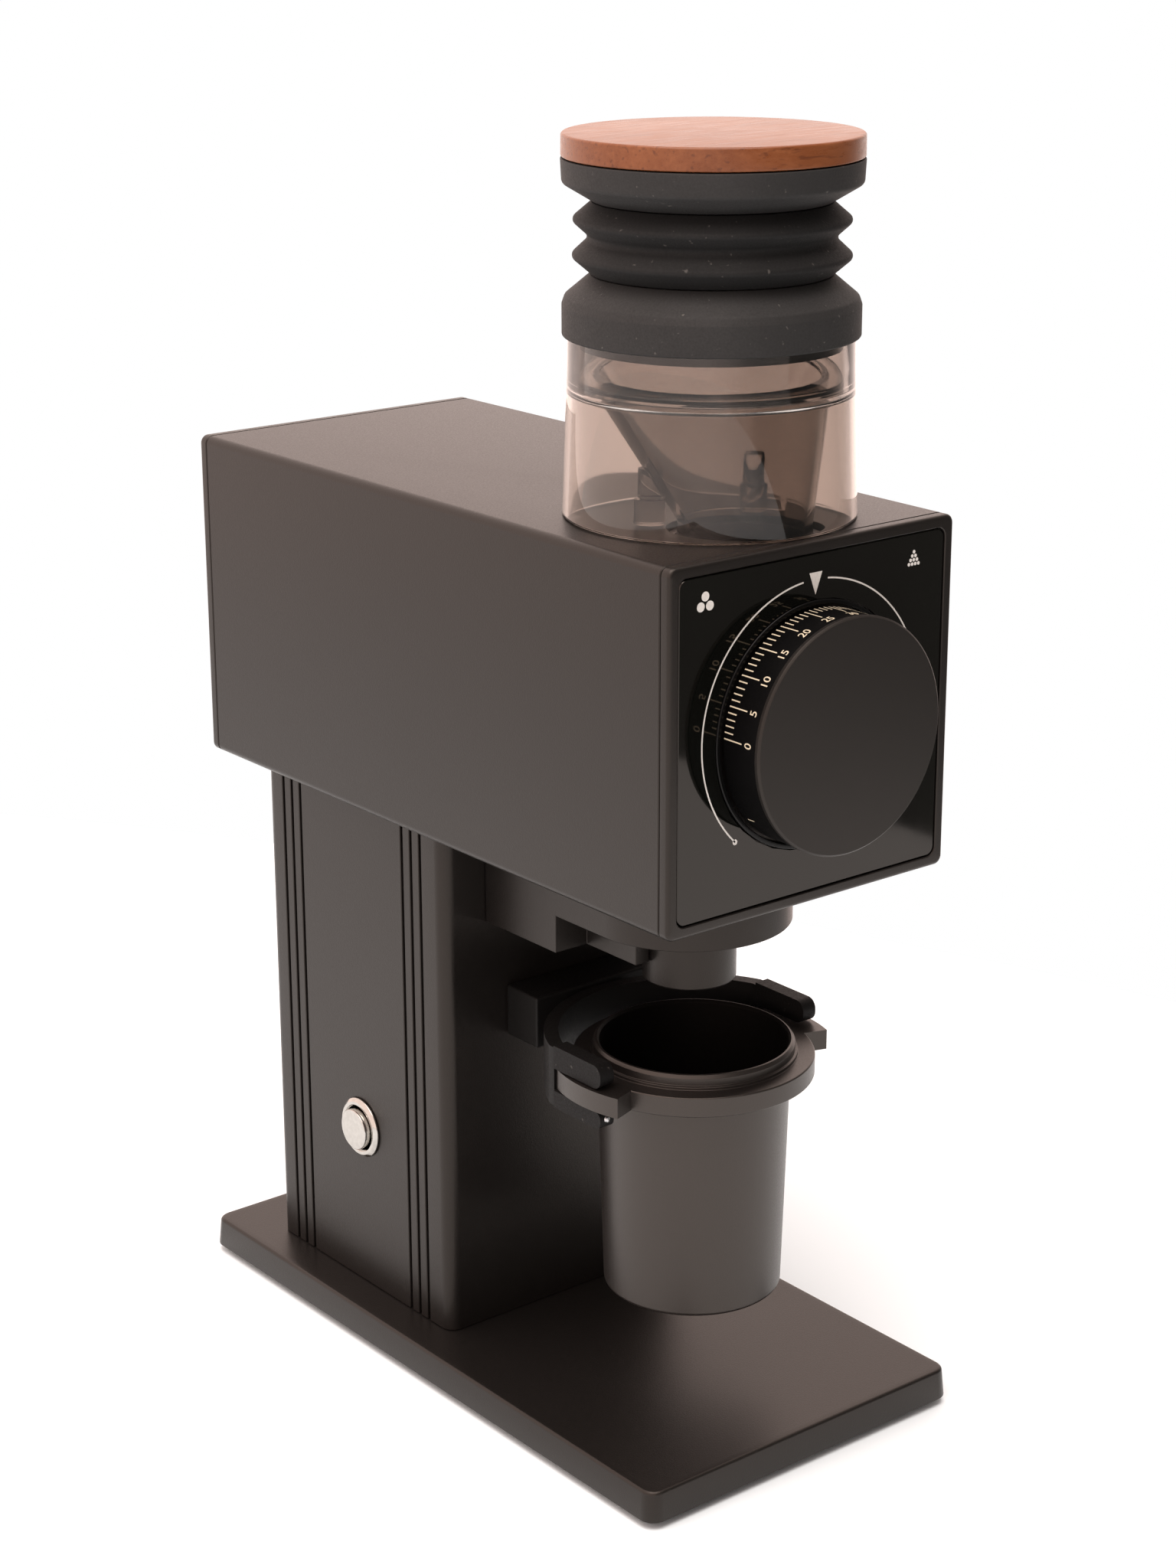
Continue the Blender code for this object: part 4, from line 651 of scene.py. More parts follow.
def build_shell():
    """Extruded shell, open at both ends, with holes for the feed, the outlet and the lead."""
    y0, y1 = HEAD_LOW.y, HEAD_HIGH.y
    rings = [upright(INSET, y0), upright(OUTLINE, y0 + CHAMFER), upright(OUTLINE, y1 - CHAMFER),
             upright(INSET, y1)]
    wall = 3.0 * MM
    inner = rectangle(HALF_W - wall, HALF_H - wall, 0.8 * MM)
    rings += [upright(inner, y1), upright(inner, y0)]
    shell = holder(loft("shell", rings, capped=False))
    feed_hole = drill(19.7 * MM, -8 * MM, 20 * MM, at(0, THROAT_Y, HEAD_TOP), 96)
    outlet = drill(14.9 * MM, -8 * MM, 8 * MM, at(0, SPOUT_Y, HEAD_BOTTOM))
    lead = drill(6 * MM, -8 * MM, 8 * MM, at(0, COLUMN_HIGH.y - 22 * MM, HEAD_BOTTOM), 32)
    combine(shell, "DIFFERENCE", [feed_hole, outlet, lead])
    shaded(shell.data, 30)
    dress(shell, "Head_shell", COAT, "frame", "powder_coat_aluminium", "head_shell")


def build_bezel():
    """Front bezel with a rounded edge, a recess for the panel and a round opening."""
    panel_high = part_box("front_panel")[1]
    border = HALF_W - panel_high.x - 0.3 * MM
    floor_y = panel_high.y + 0.3 * MM
    rings = face_rings(BEZEL_HIGH.y, FRONT)
    lip = 0.22 * MM
    for grow, y in ((lip, FRONT), (0.0, FRONT + lip), (0.0, floor_y)):
        ring = rectangle(HALF_W - border + grow, HALF_H - border + grow, 2.6 * MM + grow)
        rings.append(upright(ring, y))
    hole = rectangle(13.0 * MM, 13.0 * MM, 12.9 * MM)
    rings += [upright(hole, floor_y), upright(hole, BEZEL_HIGH.y)]
    bezel = holder(loft("bezel_frame", rings, capped=False))
    dress(bezel, "Front_bezel", COAT, "frame", "powder_coat_aluminium", "front_bezel")


def build_cover():
    """Rear cover with cooling slots and four sunk screws."""
    slots = []
    slot_half, slot_high, slot_round, slot_pitch = 24 * MM, 1.2 * MM, 1.15 * MM, 8 * MM
    for i in range(6):
        z = (i - 2.5) * slot_pitch
        ends = rounded([(slot_half, z - slot_high, slot_round), (slot_half, z + slot_high, slot_round),
                        (-slot_half, z + slot_high, slot_round), (-slot_half, z - slot_high, slot_round)])
        slots.append(loft(f"slot_{i}", [upright(ends, COVER_LOW.y - 2 * MM),
                                        upright(ends, COVER_HIGH.y + 2 * MM)]))
    cover = holder(loft("cover", face_rings(COVER_LOW.y, COVER_HIGH.y)))
    for corner in ("lower_left", "lower_right", "upper_left", "upper_right"):
        low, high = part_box("cover_screw_" + corner)
        steps = [(0, 6), (3.1, 6), (3.1, -2.0), (1.9, -2.0), (1.9, -12), (0, -12)]
        sink = turned("sink_" + corner, steps, 40, closed=False)
        x, z = (low.x + high.x) / 2, (low.z + high.z) / 2
        sink.transform(at(x, COVER_HIGH.y, z) @ TURN_BACK)
        slots.append(sink)
        build_cover_screw(corner, at(x, high.y, z) @ TURN_BACK, (high.y - low.y) / MM)
    combine(cover, "DIFFERENCE", slots)
    shaded(cover.data, 30)
    dress(cover, "Rear_cover", COAT, "frame", "powder_coat_aluminium", "rear_cover")


def build_cover_screw(corner, place, length):
    """Button-head screw with a hexagon socket, seen on the rear cover; its length in millimetres."""
    head = rounded([(0, 0, 0), (2.2, 0, 0.5), (2.75, -0.9, 0.2), (2.75, -1.6, 0), (1.35, -1.6, 0),
                    (1.35, -length, 0), (0, -length, 0)], 4, closed=False)
    screw = holder(turned("cover_screw", head, 48, closed=False))
    hex_socket(screw, 1.25 * MM, -1.1 * MM, 1 * MM)
    screw.data.transform(place)
    dress(screw, "Cover_screw_" + corner, STEEL, "frame", "steel", "cover_screw_" + corner)


# ---- panel graphics ----
INK_PROUD = 0.04 * MM


def decal(name, outline, y):
    """A thin printed mark on the panel, from an outline in X and Z about the dial's axis."""
    mesh = loft(name, [upright(outline, y), upright(outline, y - INK_PROUD)])
    dress(holder(mesh), name, INK, "frame", "glossy_panel")


def build_panel():
    """Glossy panel with a thin pale arc, a pointer, and dot icons for coarse and fine."""
    low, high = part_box("front_panel")
    half_x, half_z = high.x, (high.z - low.z) / 2
    edge = 0.25 * MM
    rings = []
    for inset, y in ((0, high.y), (0, low.y + edge), (edge, low.y)):
        rings.append(upright(rectangle(half_x - inset, half_z - inset, 2.4 * MM - inset), y))
    hole = rectangle(32.4 * MM, 32.4 * MM, 32.35 * MM)
    rings += [upright(hole, low.y), upright(hole, high.y)]
    panel = holder(loft("panel", rings, capped=False))
    dress(panel, "Front_panel", PANEL_GLOSS, "frame", "glossy_panel", "front_panel")
    face = low.y
    rise, radius, width = 0.8 * MM, 36.7 * MM, 0.42 * MM
    for name, start, end in (("left", 96.4, 226), ("right", 83.6, -46)):
        outer = arc(0, rise, radius + width / 2, start, end, 60)
        inner = arc(0, rise, radius - width / 2, end, start, 60)
        decal("Panel_arc_" + name, outer + inner, face)
    end_angle = math.radians(226)
    end_x, end_z = radius * math.cos(end_angle), rise + radius * math.sin(end_angle)
    dots = [("Panel_arc_dot", end_x, end_z, 0.75 * MM)]
    for i, (x, z) in enumerate(((-1.45, -1.2), (1.45, -1.2), (0, 1.25))):
        dots.append((f"Coarse_dot_{i}", -36.0 * MM + x * MM, 37.7 * MM + z * MM, 1.22 * MM))
    for row in range(4):
        for i in range(row + 1):
            x = (i - row / 2) * 1.12 * MM
            dots.append((f"Fine_dot_{row}_{i}", 33.8 * MM + x, 39.3 * MM - row * 1.05 * MM, 0.46 * MM))
    for name, x, z, r in dots:
        decal(name, arc(x, z, r, 0, 345, 23), face)
    decal("Panel_pointer", [(0, 33.6 * MM), (2.15 * MM, 39.3 * MM), (-2.15 * MM, 39.3 * MM)], face)


# ---- dial ----
DEGREES_PER_UNIT = 3.08
ZERO_ANGLE = -85.3
DIGIT_HEIGHT = 0.70               # of a numeral, as a share of its type size


def build_dial():
    """Glossy trim ring, black skirt, and the cap with a bright chamfer."""
    trim_low, trim_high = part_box("dial_trim_ring")
    depth = (trim_high.y - trim_low.y) / MM
    section = rounded([(32.2, depth, 0.35), (32.2, 0, 0), (30.9, 0, 0), (30.9, depth, 0.2)], 5)
    trim = holder(turned("trim", section, 160), at(0, trim_high.y, AXIS_Z) @ TURN_Y)
    dress(trim, "Dial_trim_ring", RING_GLOSS, "frame", "black_plastic", "dial_trim_ring")

    length, r = (SKIRT_HIGH.y - SKIRT_LOW.y) / MM, SKIRT_HIGH.x / MM
    section = rounded([(r, length, 0.15), (r, 0, 0.3), (27.5, 0, 0), (27.5, length - 2.2, 0),
                       (14.0, length - 2.2, 0), (14.0, 0, 0), (9.7, 0, 0), (9.7, length, 0)], 4)
    skirt = holder(turned("skirt", section, 192), at(0, SKIRT_HIGH.y, AXIS_Z) @ TURN_Y)
    dress(skirt, "Dial_skirt", DIAL_BLACK, "dial", "black_plastic", "dial_skirt")

    thick, edge = (CAP_HIGH.y - CAP_LOW.y) / MM, CAP_HIGH.x / MM
    section = rounded([(0, thick, 0), (edge - 0.55, thick, 0.12), (edge, thick - 0.5, 0.12),
                       (edge, 0.1, 0.1), (edge - 0.3, 0, 0), (0, 0, 0)], 4, closed=False)
    cap = holder(turned("cap", section, 192, closed=False), at(0, CAP_HIGH.y, AXIS_Z) @ TURN_Y)
    dress(cap, "Dial_cap", COAT_CAP, "dial", "powder_coat_aluminium", "dial_cap")


def on_skirt(lift, angle, ahead):
    """A point over the skirt: angle in degrees from the top towards +X, distance ahead of its back."""
    turn, radius = math.radians(angle), SKIRT_HIGH.x + lift
    return (radius * math.sin(turn), SKIRT_HIGH.y - ahead, AXIS_Z + radius * math.cos(turn))


def curved_mark(angle, width, start, end):
    """A thin printed tick that follows the skirt's curve; width in degrees, start and end in metres."""
    steps = 3
    bm = bmesh.new()
    layers = []
    for lift in (0.0, INK_PROUD):
        near, far = [], []
        for k in range(steps + 1):
            a = angle - width / 2 + width * k / steps
            near.append(bm.verts.new(on_skirt(lift, a, start)))
            far.append(bm.verts.new(on_skirt(lift, a, end)))
        layers.append((near, far))
    (n0, f0), (n1, f1) = layers
    for k in range(steps):
        bm.faces.new((n1[k], n1[k + 1], f1[k + 1], f1[k]))
        bm.faces.new((n0[k], f0[k], f0[k + 1], n0[k + 1]))
        bm.faces.new((n0[k], n0[k + 1], n1[k + 1], n1[k]))
        bm.faces.new((f0[k], f1[k], f1[k + 1], f0[k + 1]))
    bm.faces.new((n0[0], n1[0], f1[0], f0[0]))
    bm.faces.new((n0[-1], f0[-1], f1[-1], n1[-1]))
    return mesh_from(bm, "tick")


def curved_numeral(text, angle, height, centre):
    """A numeral wrapped on the skirt, reading round it, with its head towards the back of the dial."""
    curve = bpy.data.curves.new("numeral", "FONT")
    curve.body = text
    curve.size = height / DIGIT_HEIGHT
    curve.align_x = "CENTER"
    curve.extrude = INK_PROUD / 2
    curve.resolution_u = 4
    curve.offset = 0.015 * MM
    maker = bpy.data.objects.new("numeral", curve)
    bpy.context.scene.collection.objects.link(maker)
    bpy.context.view_layer.update()
    graph = bpy.context.evaluated_depsgraph_get()
    mesh = bpy.data.meshes.new_from_object(maker.evaluated_get(graph))
    bpy.data.objects.remove(maker, do_unlink=True)
    bm = bmesh.new()
    bm.from_mesh(mesh)
    bmesh.ops.remove_doubles(bm, verts=bm.verts, dist=0.000002)
    for vert in bm.verts:
        across, up, lift = vert.co
        turn = angle + math.degrees(across / SKIRT_HIGH.x)
        vert.co = on_skirt(INK_PROUD / 2 + lift, turn, centre + height / 2 - up)
    return mesh_from(bm, "numeral_" + text)


def build_scale():
    """Ticks for every unit from 0 to 90, longer each fifth, with numerals, all as one printed layer."""
    whole = bmesh.new()
    tick_start, tick_width = 0.15 * MM, 0.62
    for unit in range(91):
        angle = ZERO_ANGLE + unit * DEGREES_PER_UNIT
        if unit % 5:
            whole.from_mesh(curved_mark(angle, tick_width, tick_start, 3.2 * MM))
        else:
            whole.from_mesh(curved_mark(angle, tick_width, tick_start, 6.5 * MM))
            whole.from_mesh(curved_numeral(str(unit), angle, 2.3 * MM, 8.7 * MM))
    whole.from_mesh(curved_mark(-130.0, 0.7, 1.5 * MM, 3.8 * MM))
    scale = holder(mesh_from(whole, "scale"))
    dress(scale, "Dial_scale", SCALE_INK, "dial", "black_plastic")


# ---- power inlet ----
def build_inlet():
    """Appliance inlet: flanged housing with a keyed socket and three metal blades."""
    low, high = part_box("power_inlet")
    y_out, mid_z = COLUMN_HIGH.y + 0.3 * MM, (low.z + high.z) / 2
    half_x, half_z, bevel = high.x, (high.z - low.z) / 2, 0.6 * MM
    flange = rectangle(half_x, half_z, 2.2 * MM, 6)
    inset = rectangle(half_x - bevel, half_z - bevel, 1.8 * MM, 6)

    def ring(points, y):
        return [(x, y, mid_z + z) for x, z in points]

    housing = holder(loft("inlet", [ring(flange, y_out), ring(flange, high.y - bevel),
                                    ring(inset, high.y)]))
    body_x, body_z = 13.7 * MM, 10 * MM
    body = block("inlet_body", (-body_x, low.y, mid_z - body_z), (body_x, y_out + 1 * MM, mid_z + body_z))
    socket = rounded([(12.1, -8.2, 1.0), (12.1, 3.2, 1.2), (7.1, 8.2, 1.2), (-7.1, 8.2, 1.2),
                      (-12.1, 3.2, 1.2), (-12.1, -8.2, 1.0)], 4)
    socket = [(x * MM, z * MM) for x, z in socket]
    cut = loft("inlet_socket", [ring(socket, y_out - 14.1 * MM), ring(socket, high.y + 2 * MM)])
    combine(housing, "UNION", [body])
    combine(housing, "DIFFERENCE", [cut])
    shaded(housing.data, 30)
    dress(housing, "Inlet_housing", BLACK_SATIN, "frame", "black_plastic", "power_inlet")
    for name, x, z in (("live", -7, -2), ("earth", 0, 3), ("neutral", 7, -2)):
        blade = rectangle(1.0 * MM, 2.0 * MM, 0.3 * MM, 3)
        points = [(x * MM + bx, z * MM + bz) for bx, bz in blade]
        tip = [(x * MM + bx * 0.7, z * MM + bz * 0.85) for bx, bz in blade]
        mesh = loft("blade", [ring(points, y_out - 15.0 * MM), ring(points, y_out - 2.8 * MM),
                              ring(tip, y_out - 2 * MM)])
        dress(holder(mesh), "Inlet_blade_" + name, NICKEL, "frame", "black_plastic")


# ---- hopper and bellows ----
FUNNEL_FOOT = HEAD_TOP + 2.1 * MM


def turned_piece(name, corners, z0, material, body, slot, *nodes, steps=160, closed=True, arcs=6):
    """A turned piece on the hopper's axis from (radius, height, rounding) corners in millimetres."""
    made = holder(turned(name, rounded(corners, arcs, closed), steps, closed), at(0, HOPPER_Y, z0))
    return dress(made, name, material, body, slot, *nodes)


def build_hopper():
    """Smoked clear wall with its shelf, the leaning funnel with two posts, and a dark ring at its rim as
    painted shadow.
    """
    rim = (WALL_HIGH.z - HEAD_TOP) / MM
    shelf = (FUNNEL_HIGH.z - HEAD_TOP) / MM - 2.3
    foot = (WALL_LOW.z - HEAD_TOP) / MM
    wall = [(36.0, rim, 0.4), (36.3, 37.8, 4.0), (37.7, foot, 0.3), (35.6, foot, 0.3),
            (34.6, shelf - 1.7, 0.5), (32.2, shelf - 1.2, 0.3), (32.2, shelf, 0.2), (34.2, shelf, 0.2),
            (34.0, rim, 0.4)]
    turned_piece("Hopper_wall", wall, HEAD_TOP, SMOKED, "hopper", "smoked_plastic", "hopper_wall",
                 steps=192)

    shift = THROAT_Y - HOPPER_Y
    top, bottom, steps = FUNNEL_HIGH.z, FUNNEL_LOW.z, 128

    def circle(radius, z, offset):
        turn = [2 * math.pi * i / steps for i in range(steps)]
        return [(radius * MM * math.cos(a), HOPPER_Y + offset + radius * MM * math.sin(a), z) for a in turn]

    rings = [circle(33.7, top, 0), circle(33.9, top - 0.2 * MM, 0), circle(33.9, top - 2 * MM, 0),
             circle(30.1, top - 2 * MM, 0), circle(16.9, FUNNEL_FOOT, shift), circle(16.9, bottom, shift),
             circle(15.0, bottom, shift), circle(15.0, FUNNEL_FOOT + 0.5 * MM, shift), circle(28.4, top, 0)]
    funnel = holder(loft("funnel", rings, capped=False))
    posts = []
    for side in (-1, 1):
        post = rounded([(0, 14, 0), (2.9, 14, 0), (3.0, 6.7, 0.2), (3.9, 6.3, 0.2), (4.0, 0, 0.3),
                        (0, 0, 0)], 4, closed=False)
        mesh = turned("post", post, 48, closed=False)
        mesh.transform(at(side * 17.4 * MM, FRONT + 43.2 * MM, HEAD_TOP + 0.6 * MM))
        posts.append(mesh)
    combine(funnel, "UNION", posts)
    throat = prism("throat", arc(0, THROAT_Y, 14.98 * MM, 0, 357, 119), bottom - 5 * MM,
                   FUNNEL_FOOT + 0.4 * MM)
    combine(funnel, "DIFFERENCE", [throat])
    shaded(funnel.data, 25)
    dress(funnel, "Hopper_funnel", SMOKED, "hopper", "smoked_plastic", "hopper_funnel")
    # Painted shadow: a thin dark rubber ring on the funnel's rim draws the dark line of shade just under
    # the lower cuff.
    shade_ring = holder(turned("shade_ring", arc(33.72, -1.0, 0.42, 0, 330, 11), 160), at(0, HOPPER_Y, top))
    dress(shade_ring, "Funnel_shade_ring", FOLD_SHADE_RUBBER, "hopper", "rubber")


CUFF_LIP = 2.6                    # how far the inner lip hangs below the cuff's edge, in millimetres
LID_THICK = 5.8                   # the lid above its plug, in millimetres


def build_bellows():
    """Rubber cuffs and folds, the folds in a darker rubber as painted shade, and the wooden lid on top."""
    cuff = (CUFF_HIGH.z - CUFF_LOW.z) / MM
    rim = (WALL_HIGH.z - CUFF_LOW.z) / MM + 0.3
    lower = [(30.4, cuff, 0.5), (36.9, cuff - 5.4, 1.4), (37.6, cuff - 7.4, 1.0), (37.6, CUFF_LIP, 0.8),
             (36.5, CUFF_LIP, 0.3), (36.5, rim, 0.3), (33.7, rim, 0.3), (33.7, 0, 0.4), (31.8, 0, 0.4),
             (31.8, rim, 0.3), (28.8, cuff - 1.5, 0.5), (28.8, cuff, 0.3)]
    turned_piece("Bellows_lower_cuff", lower, CUFF_LOW.z, RUBBER, "bellows", "rubber",
                 "bellows_cuff_lower")

    tall = (FOLDS_HIGH.z - FOLDS_LOW.z) / MM
    outer = [(30.1, tall, 0.0), (35.3, 13.2, 1.1), (30.5, 8.9, 1.5), (35.5, 4.3, 1.1), (30.4, 0.0, 0.0)]
    inner = [(28.6, 0.0, 0.0), (33.6, 4.3, 0.9), (28.7, 8.9, 1.3), (33.4, 13.2, 0.9), (28.3, tall, 0.0)]
    # Painted shade: the folds take the darker copy of the cuffs' rubber.
    folds = turned_piece("Bellows_folds", outer + inner, FOLDS_LOW.z, FOLD_SHADE_RUBBER, "bellows", "rubber",
                         "bellows_folds", arcs=8)
    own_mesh(folds)

    seat = (TOP_HIGH.z - TOP_LOW.z) / MM
    upper = [(37.8, seat, 0.4), (37.5, 4.4, 1.5), (30.1, 0, 0.3), (28.3, 0, 0.2), (28.3, 1.2, 0.3),
             (33.0, 4.4, 0.6), (33.0, seat, 0.3)]
    turned_piece("Bellows_upper_cuff", upper, TOP_LOW.z, RUBBER, "bellows_top", "rubber",
                 "bellows_cuff_upper")

    plug = (LID_HIGH.z - LID_LOW.z) / MM
    step = plug - LID_THICK
    lid = [(0, plug, 0), (37.65, plug, 0.7), (37.7, step, 0.5), (32.6, step, 0.2), (32.6, 0, 0.5),
           (0, 0, 0)]
    turned_piece("Wood_lid", lid, LID_LOW.z, WOOD, "bellows_top", "wood", "wood_lid", closed=False,
                 steps=192)


# ---- chute, fork and cup ----
SKIRT_DROP = 17.1 * MM
SPOUT_BORE = 10.7                 # radius of the powder's way out, in millimetres


def build_chute():
    """Chute housing with a round front, its lower rear and centre blocks, and the spout."""
    half, top, low = CHUTE_HIGH.x, CHUTE_HIGH.z, CHUTE_LOW.z
    back = CHUTE_HIGH.y
    bottom = HEAD_BOTTOM - SKIRT_DROP
    outline = [(half, back), (-half, back)] + arc(0, FRONT + 48 * MM, half, 180, 360, 64)
    housing = holder(prism("chute", outline, bottom, top))
    narrow, step, nose = 17.6 * MM, FRONT + 69 * MM, FRONT + 48.3 * MM
    outline = [(half, back), (-half, back), (-half, step), (-narrow, step), (-narrow, nose),
               (narrow, nose), (narrow, step), (half, step)]
    combine(housing, "UNION", [prism("chute_lower", outline, low, bottom + 3 * MM)])
    gap = 0.3 * MM
    socket = drill(SPOUT_HIGH.x + gap, -50 * MM, gap, at(0, SPOUT_Y, SPOUT_HIGH.z), 96)
    bore = drill(SPOUT_BORE * MM, -20 * MM, 60 * MM, at(0, SPOUT_Y, SPOUT_LOW.z), 96)
    combine(housing, "DIFFERENCE", [socket, bore])
    soften(housing, 0.35 * MM, 2)
    dress(housing, "Chute_housing", COAT, "frame", "powder_coat_aluminium", "chute_housing")
    length = (SPOUT_HIGH.z - SPOUT_LOW.z) / MM
    outer = SPOUT_HIGH.x / MM
    profile = rounded([(outer, length, 0), (outer, 0, 0.6), (SPOUT_BORE, 0, 0.3),
                       (SPOUT_BORE, length, 0)])
    spout = holder(turned("spout", profile, 128), at(0, SPOUT_Y, SPOUT_LOW.z))
    dress(spout, "Spout", COAT, "frame", "powder_coat_aluminium", "spout")


CRISP = 0.05 * MM
PAD_PROUD = 0.8 * MM
PAD_REAR = FRONT + 57.5 * MM
SLOT_LOW, SLOT_HIGH = 100.2 * MM, 106.6 * MM
PRONG_OUTER, PRONG_INNER = 38.4 * MM, 33.8 * MM
RING_OUTER, RING_INNER = 40.8 * MM, 36.9 * MM


def horseshoe(name, outer, inner, prong_outer, prong_inner, low, high):
    """The fork's plan outline, a ring that opens into two straight prongs, as a solid."""
    tip = FORK_LOW.y
    outer_turn = math.degrees(math.acos(prong_outer / outer))
    inner_turn = math.degrees(math.acos(prong_inner / inner))
    outline = [(prong_outer, tip)] + arc(0, CUP_Y, outer, outer_turn, 180 - outer_turn, 72)
    outline += [(-prong_outer, tip), (-prong_inner, tip)]
    outline += arc(0, CUP_Y, inner, 180 - inner_turn, inner_turn, 72) + [(prong_inner, tip)]
    return prism(name, outline, low, high)


def side_shape(name, y0, y1, z0, z1, front_round=CRISP, x0=-60 * MM, x1=60 * MM):
    """A solid whose side view is a rectangle with its two front corners rounded."""
    outline = rounded([(y0, z0, front_round), (y1, z0, CRISP), (y1, z1, CRISP),
                       (y0, z1, front_round)], 10)
    return loft(name, [[(x0, y, z) for y, z in outline], [(x1, y, z) for y, z in outline]])


def build_fork():
    """Black horseshoe fork with four grey rubber pads on its prongs, on a bracket block."""
    core_top = FORK_HIGH.z - PAD_PROUD
    trim = 0.5 * MM
    core = holder(horseshoe("fork", RING_OUTER, RING_INNER, PRONG_OUTER - trim, PRONG_INNER + 0.2 * MM,
                            FORK_LOW.z + 0.3 * MM, core_top))
    slot = side_shape("slot", FORK_LOW.y - 20 * MM, FRONT + 57.9 * MM, SLOT_LOW, SLOT_HIGH)
    front = side_shape("front", FORK_LOW.y - 20 * MM, PAD_REAR + 0.1 * MM, 80 * MM, 130 * MM)
    combine(core, "DIFFERENCE", [slot, front])
    tongue_y = CUP_Y + RING_OUTER
    tongue = block("tongue", (-12 * MM, tongue_y - 2.9 * MM, FORK_LOW.z + 3 * MM),
                   (12 * MM, tongue_y + 0.8 * MM, FORK_HIGH.z - 3 * MM))
    combine(core, "UNION", [tongue])
    soften(core, 0.5 * MM, 3)
    dress(core, "Fork_ring", FORK_SATIN, "frame", "black_plastic", "cup_fork")
    rails = (("upper", SLOT_HIGH, FORK_HIGH.z, 2.9 * MM), ("lower", FORK_LOW.z, SLOT_LOW, 2.2 * MM))
    sliver = 0.001 * MM
    for rail_name, z0, z1, tip_round in rails:
        for side_name, x0, x1 in (("left", -60 * MM, 0), ("right", 0, 60 * MM)):
            pad = holder(horseshoe("pad", RING_OUTER, RING_INNER, PRONG_OUTER, PRONG_INNER, z0, z1))
            keep = side_shape("keep", FORK_LOW.y, PAD_REAR, z0 + sliver, z1 - sliver, tip_round, x0, x1)
            combine(pad, "INTERSECT", [keep])
            soften(pad, 0.7 * MM, 4, 45)
            dress(pad, f"Fork_pad_{rail_name}_{side_name}", PAD_RUBBER, "frame", "black_plastic")
    low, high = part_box("fork_bracket")
    bracket = holder(block("bracket", low, high))
    soften(bracket, 0.6 * MM, 3)
    dress(bracket, "Fork_bracket", FORK_SATIN, "frame", "black_plastic", "fork_bracket")


EAR_R, FLANGE_R, EAR_SPREAD = 39.5, 32.9, 19.0
EAR_LOW, EAR_TOP = 100.5 * MM, 106.2 * MM


def build_cup():
    """Tapered dosing cup with a chamfered rim, a flange and two ears; its inside is darkened as painted
    shade.
    """
    h = (CUP_HIGH.z - CUP_LOW.z) / MM
    top, bottom = (EAR_TOP - CUP_LOW.z) / MM, (EAR_LOW - CUP_LOW.z) / MM
    outer = [(26.4, h, 0.15), (26.9, h - 0.1, 0.25), (27.5, h - 1.0, 0.3), (27.5, top + 1.0, 0.2),
             (28.2, top + 0.9, 0.2), (28.2, top, 0.2), (FLANGE_R, top, 0.45),
             (FLANGE_R, bottom, 0.45), (26.3, bottom, 0.3), (24.5, 0, 1.3), (0, 0, 0)]
    inner = [(0, 2.2, 0), (21.9, 2.2, 1.5), (25.8, h - 0.8, 0.4)]
    profile = rounded(outer, 5, closed=False)
    profile += rounded(inner + [(26.4, h, 0)], 5, closed=False)[:-1]
    cup = holder(turned("cup", profile, 160))
    ears = []
    for middle in (0, 180):
        outline = arc(0, 0, EAR_R * MM, middle - EAR_SPREAD, middle + EAR_SPREAD, 20)
        outline += arc(0, 0, (FLANGE_R - 1.5) * MM, middle + EAR_SPREAD, middle - EAR_SPREAD, 14)
        ears.append(prism("ear", outline, (bottom + 0.02) * MM, (top - 0.02) * MM))
    combine(cup, "UNION", ears)
    soften(cup, 0.35 * MM, 3, 50)
    cup.matrix_world = at(0, CUP_Y, CUP_LOW.z)
    dress(cup, "Dosing_cup", COAT_CUP, "cup", "powder_coat_aluminium", "dosing_cup")
    # Painted shade: faces pointing in towards the axis, and the inside floor, take the darker copy of the
    # coat for the shade inside the cup.
    cup.data.materials.append(CUP_INSIDE_SHADE)
    for face in cup.data.polygons:
        middle, normal = face.center, face.normal
        inward = middle.x * normal.x + middle.y * normal.y < -0.5 * math.hypot(middle.x, middle.y)
        if inward or (normal.z > 0.9 and middle.z < 6 * MM):
            face.material_index = 1


# ---- build everything ----
build_base()
build_column()
build_button()
build_shell()
build_bezel()
build_cover()
build_panel()
build_dial()
build_scale()
build_inlet()
build_hopper()
build_bellows()
build_chute()
build_fork()
build_cup()

# ---- camera, light and floor ----
CAMERA_PLACE = Vector((-0.49600, -0.62624, 0.42743))
CAMERA_AZIMUTH, CAMERA_ELEVATION, CAMERA_ROLL = -38.717, 17.954, -0.147
CAMERA_LENS = 69.18


def build_camera():
    """A three-quarter view from the front left, a little above."""
    az, el, roll = (math.radians(v) for v in (CAMERA_AZIMUTH, CAMERA_ELEVATION, CAMERA_ROLL))
    back = Vector((math.sin(az) * math.cos(el), -math.cos(az) * math.cos(el), math.sin(el)))
    right = Vector((math.cos(az), math.sin(az), 0))
    up = back.cross(right)
    across = right * math.cos(roll) + up * math.sin(roll)
    along = up * math.cos(roll) - right * math.sin(roll)
    data = bpy.data.cameras.new("camera")
    data.lens = CAMERA_LENS
    data.sensor_width = 36.0
    data.sensor_fit = "AUTO"
    data.clip_start, data.clip_end = 0.05, 60
    camera = bpy.data.objects.new("camera", data)
    bpy.context.scene.collection.objects.link(camera)
    turn = Matrix((across, along, back)).transposed().to_4x4()
    camera.matrix_world = at(*CAMERA_PLACE) @ turn
    bpy.context.scene.camera = camera


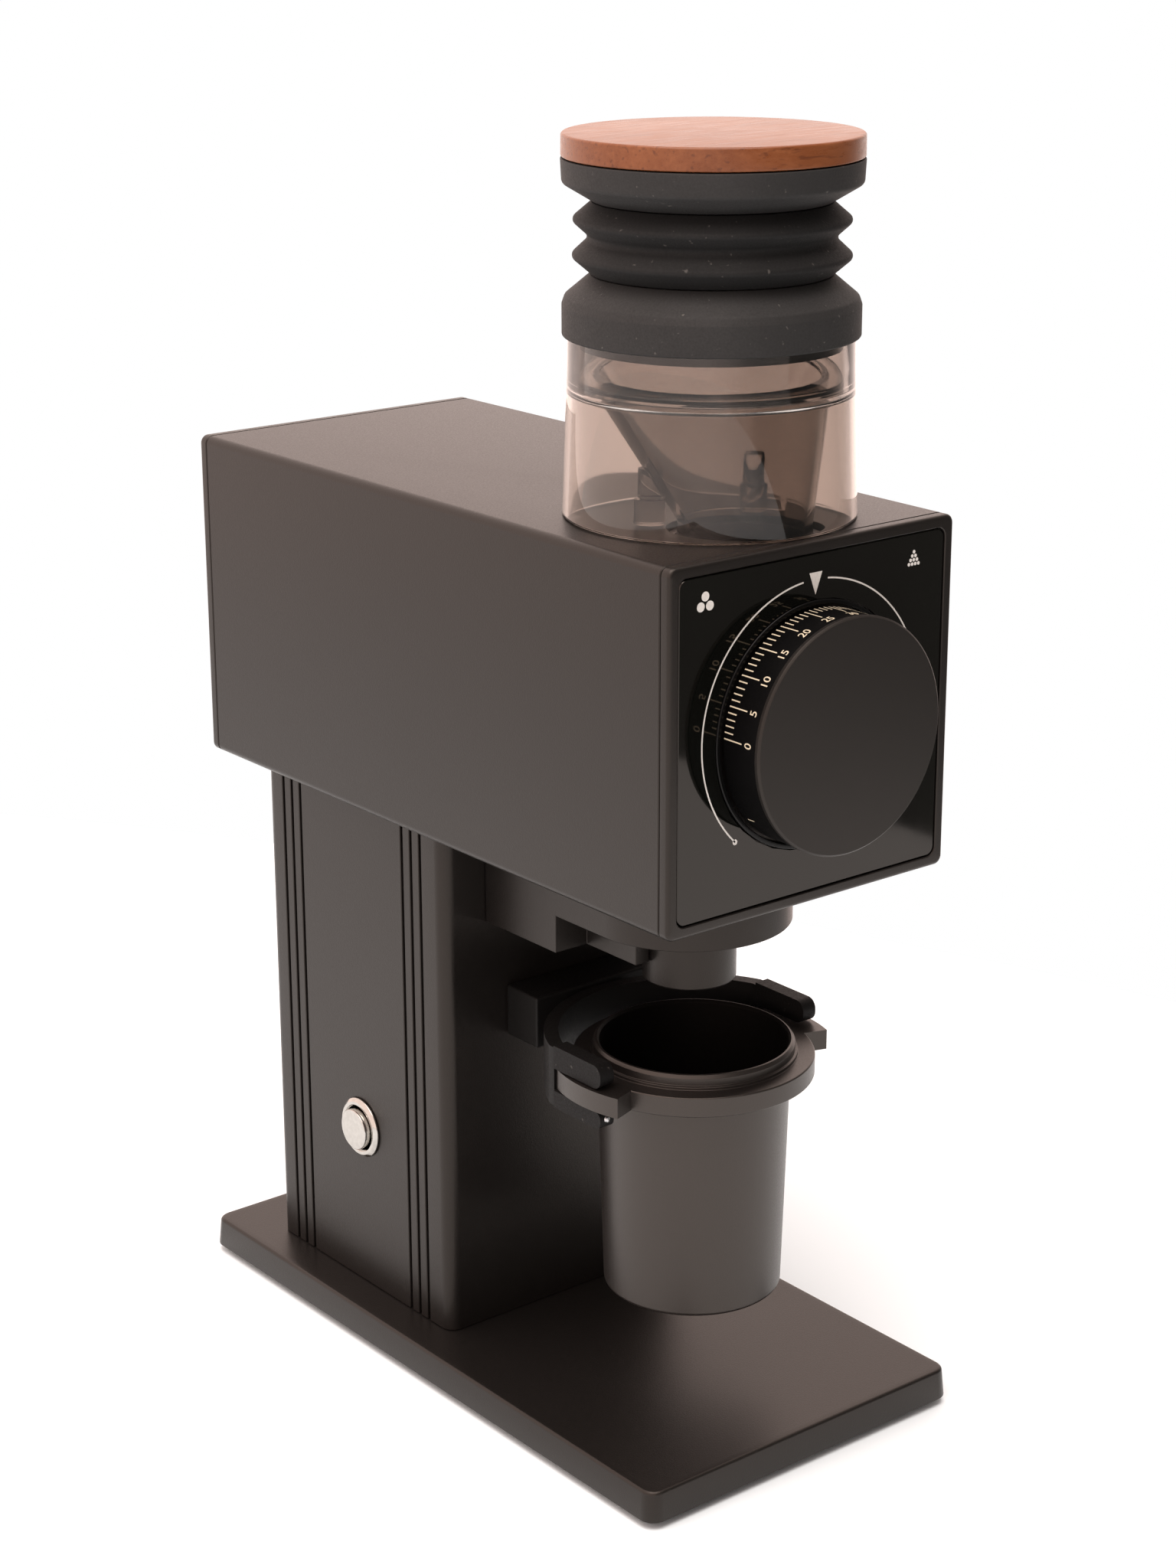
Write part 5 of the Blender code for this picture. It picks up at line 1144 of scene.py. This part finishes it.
def soft_box(name, place, towards, size, power, colour):
    """A large soft light at a place, facing a point."""
    data = bpy.data.lights.new(name, "AREA")
    data.shape = "RECTANGLE"
    data.size, data.size_y = size
    data.energy = power
    data.color = colour
    light = bpy.data.objects.new(name, data)
    bpy.context.scene.collection.objects.link(light)
    turn = (Vector(place) - Vector(towards)).to_track_quat("Z", "Y")
    light.matrix_world = at(*place) @ turn.to_matrix().to_4x4()


DIM_SIDE = (0.60, -0.78, 0.10)
DIM_SPREAD = (0.10, 0.80)
DIM_LIGHT = (0.16, 0.15, 0.14)
ROOM_LIGHT = (1.75, 1.42, 1.30)
BACKDROP = (1.0, 1.0, 1.0)


def build_world():
    """A warm pale room that is dim in front to the right; the backdrop itself is clear white."""
    world = bpy.data.worlds.new("studio")
    world.use_nodes = True
    tree = world.node_tree
    background = tree.nodes["Background"]
    coords = node(tree, "ShaderNodeTexCoord")
    facing = node(tree, "ShaderNodeVectorMath", operation="DOT_PRODUCT")
    facing.inputs[1].default_value = Vector(DIM_SIDE).normalized()
    tree.links.new(coords.outputs["Generated"], facing.inputs[0])
    room = levels(tree, facing.outputs["Value"], *DIM_SPREAD, 1, 0, smooth=True)
    walls = ramp(tree, room, (0.0, DIM_LIGHT), (1.0, ROOM_LIGHT))
    white = ramp(tree, room, (0.0, BACKDROP), (1.0, BACKDROP))
    path = tree.nodes.new("ShaderNodeLightPath")
    seen = mixed(tree, path.outputs["Is Camera Ray"], walls, white)
    tree.links.new(seen, background.inputs["Color"])
    background.inputs["Strength"].default_value = 1.0
    bpy.context.scene.world = world


def build_stage():
    """Pale floor with a little tone of its own, and even studio light from above and the left."""
    floor = holder(prism("floor", arc(-1.2, -0.4, 1.6, 0, 356.25, 95), -0.02, 0.0))
    made, tree, shader = shader_of("floor_paper", Roughness=0.85, Specular_IOR_Level=0.2)
    tone = ramp(tree, noise(tree, 3.0, 3.0), (0.3, (0.80, 0.885, 0.93)), (0.7, (0.825, 0.91, 0.955)))
    tree.links.new(tone, shader.inputs["Base Color"])
    floor.data.materials.append(made)
    build_world()
    soft_box("overhead", (-0.2, -0.25, 1.3), (-0.1, -0.15, 0), (1.1, 1.1), 16, (1.0, 0.93, 0.88))
    scene = bpy.context.scene
    scene.view_settings.view_transform = "Standard"
    scene.view_settings.look = "None"
    scene.view_settings.exposure = 0.0
    scene.view_settings.gamma = 1.0


build_camera()
build_stage()
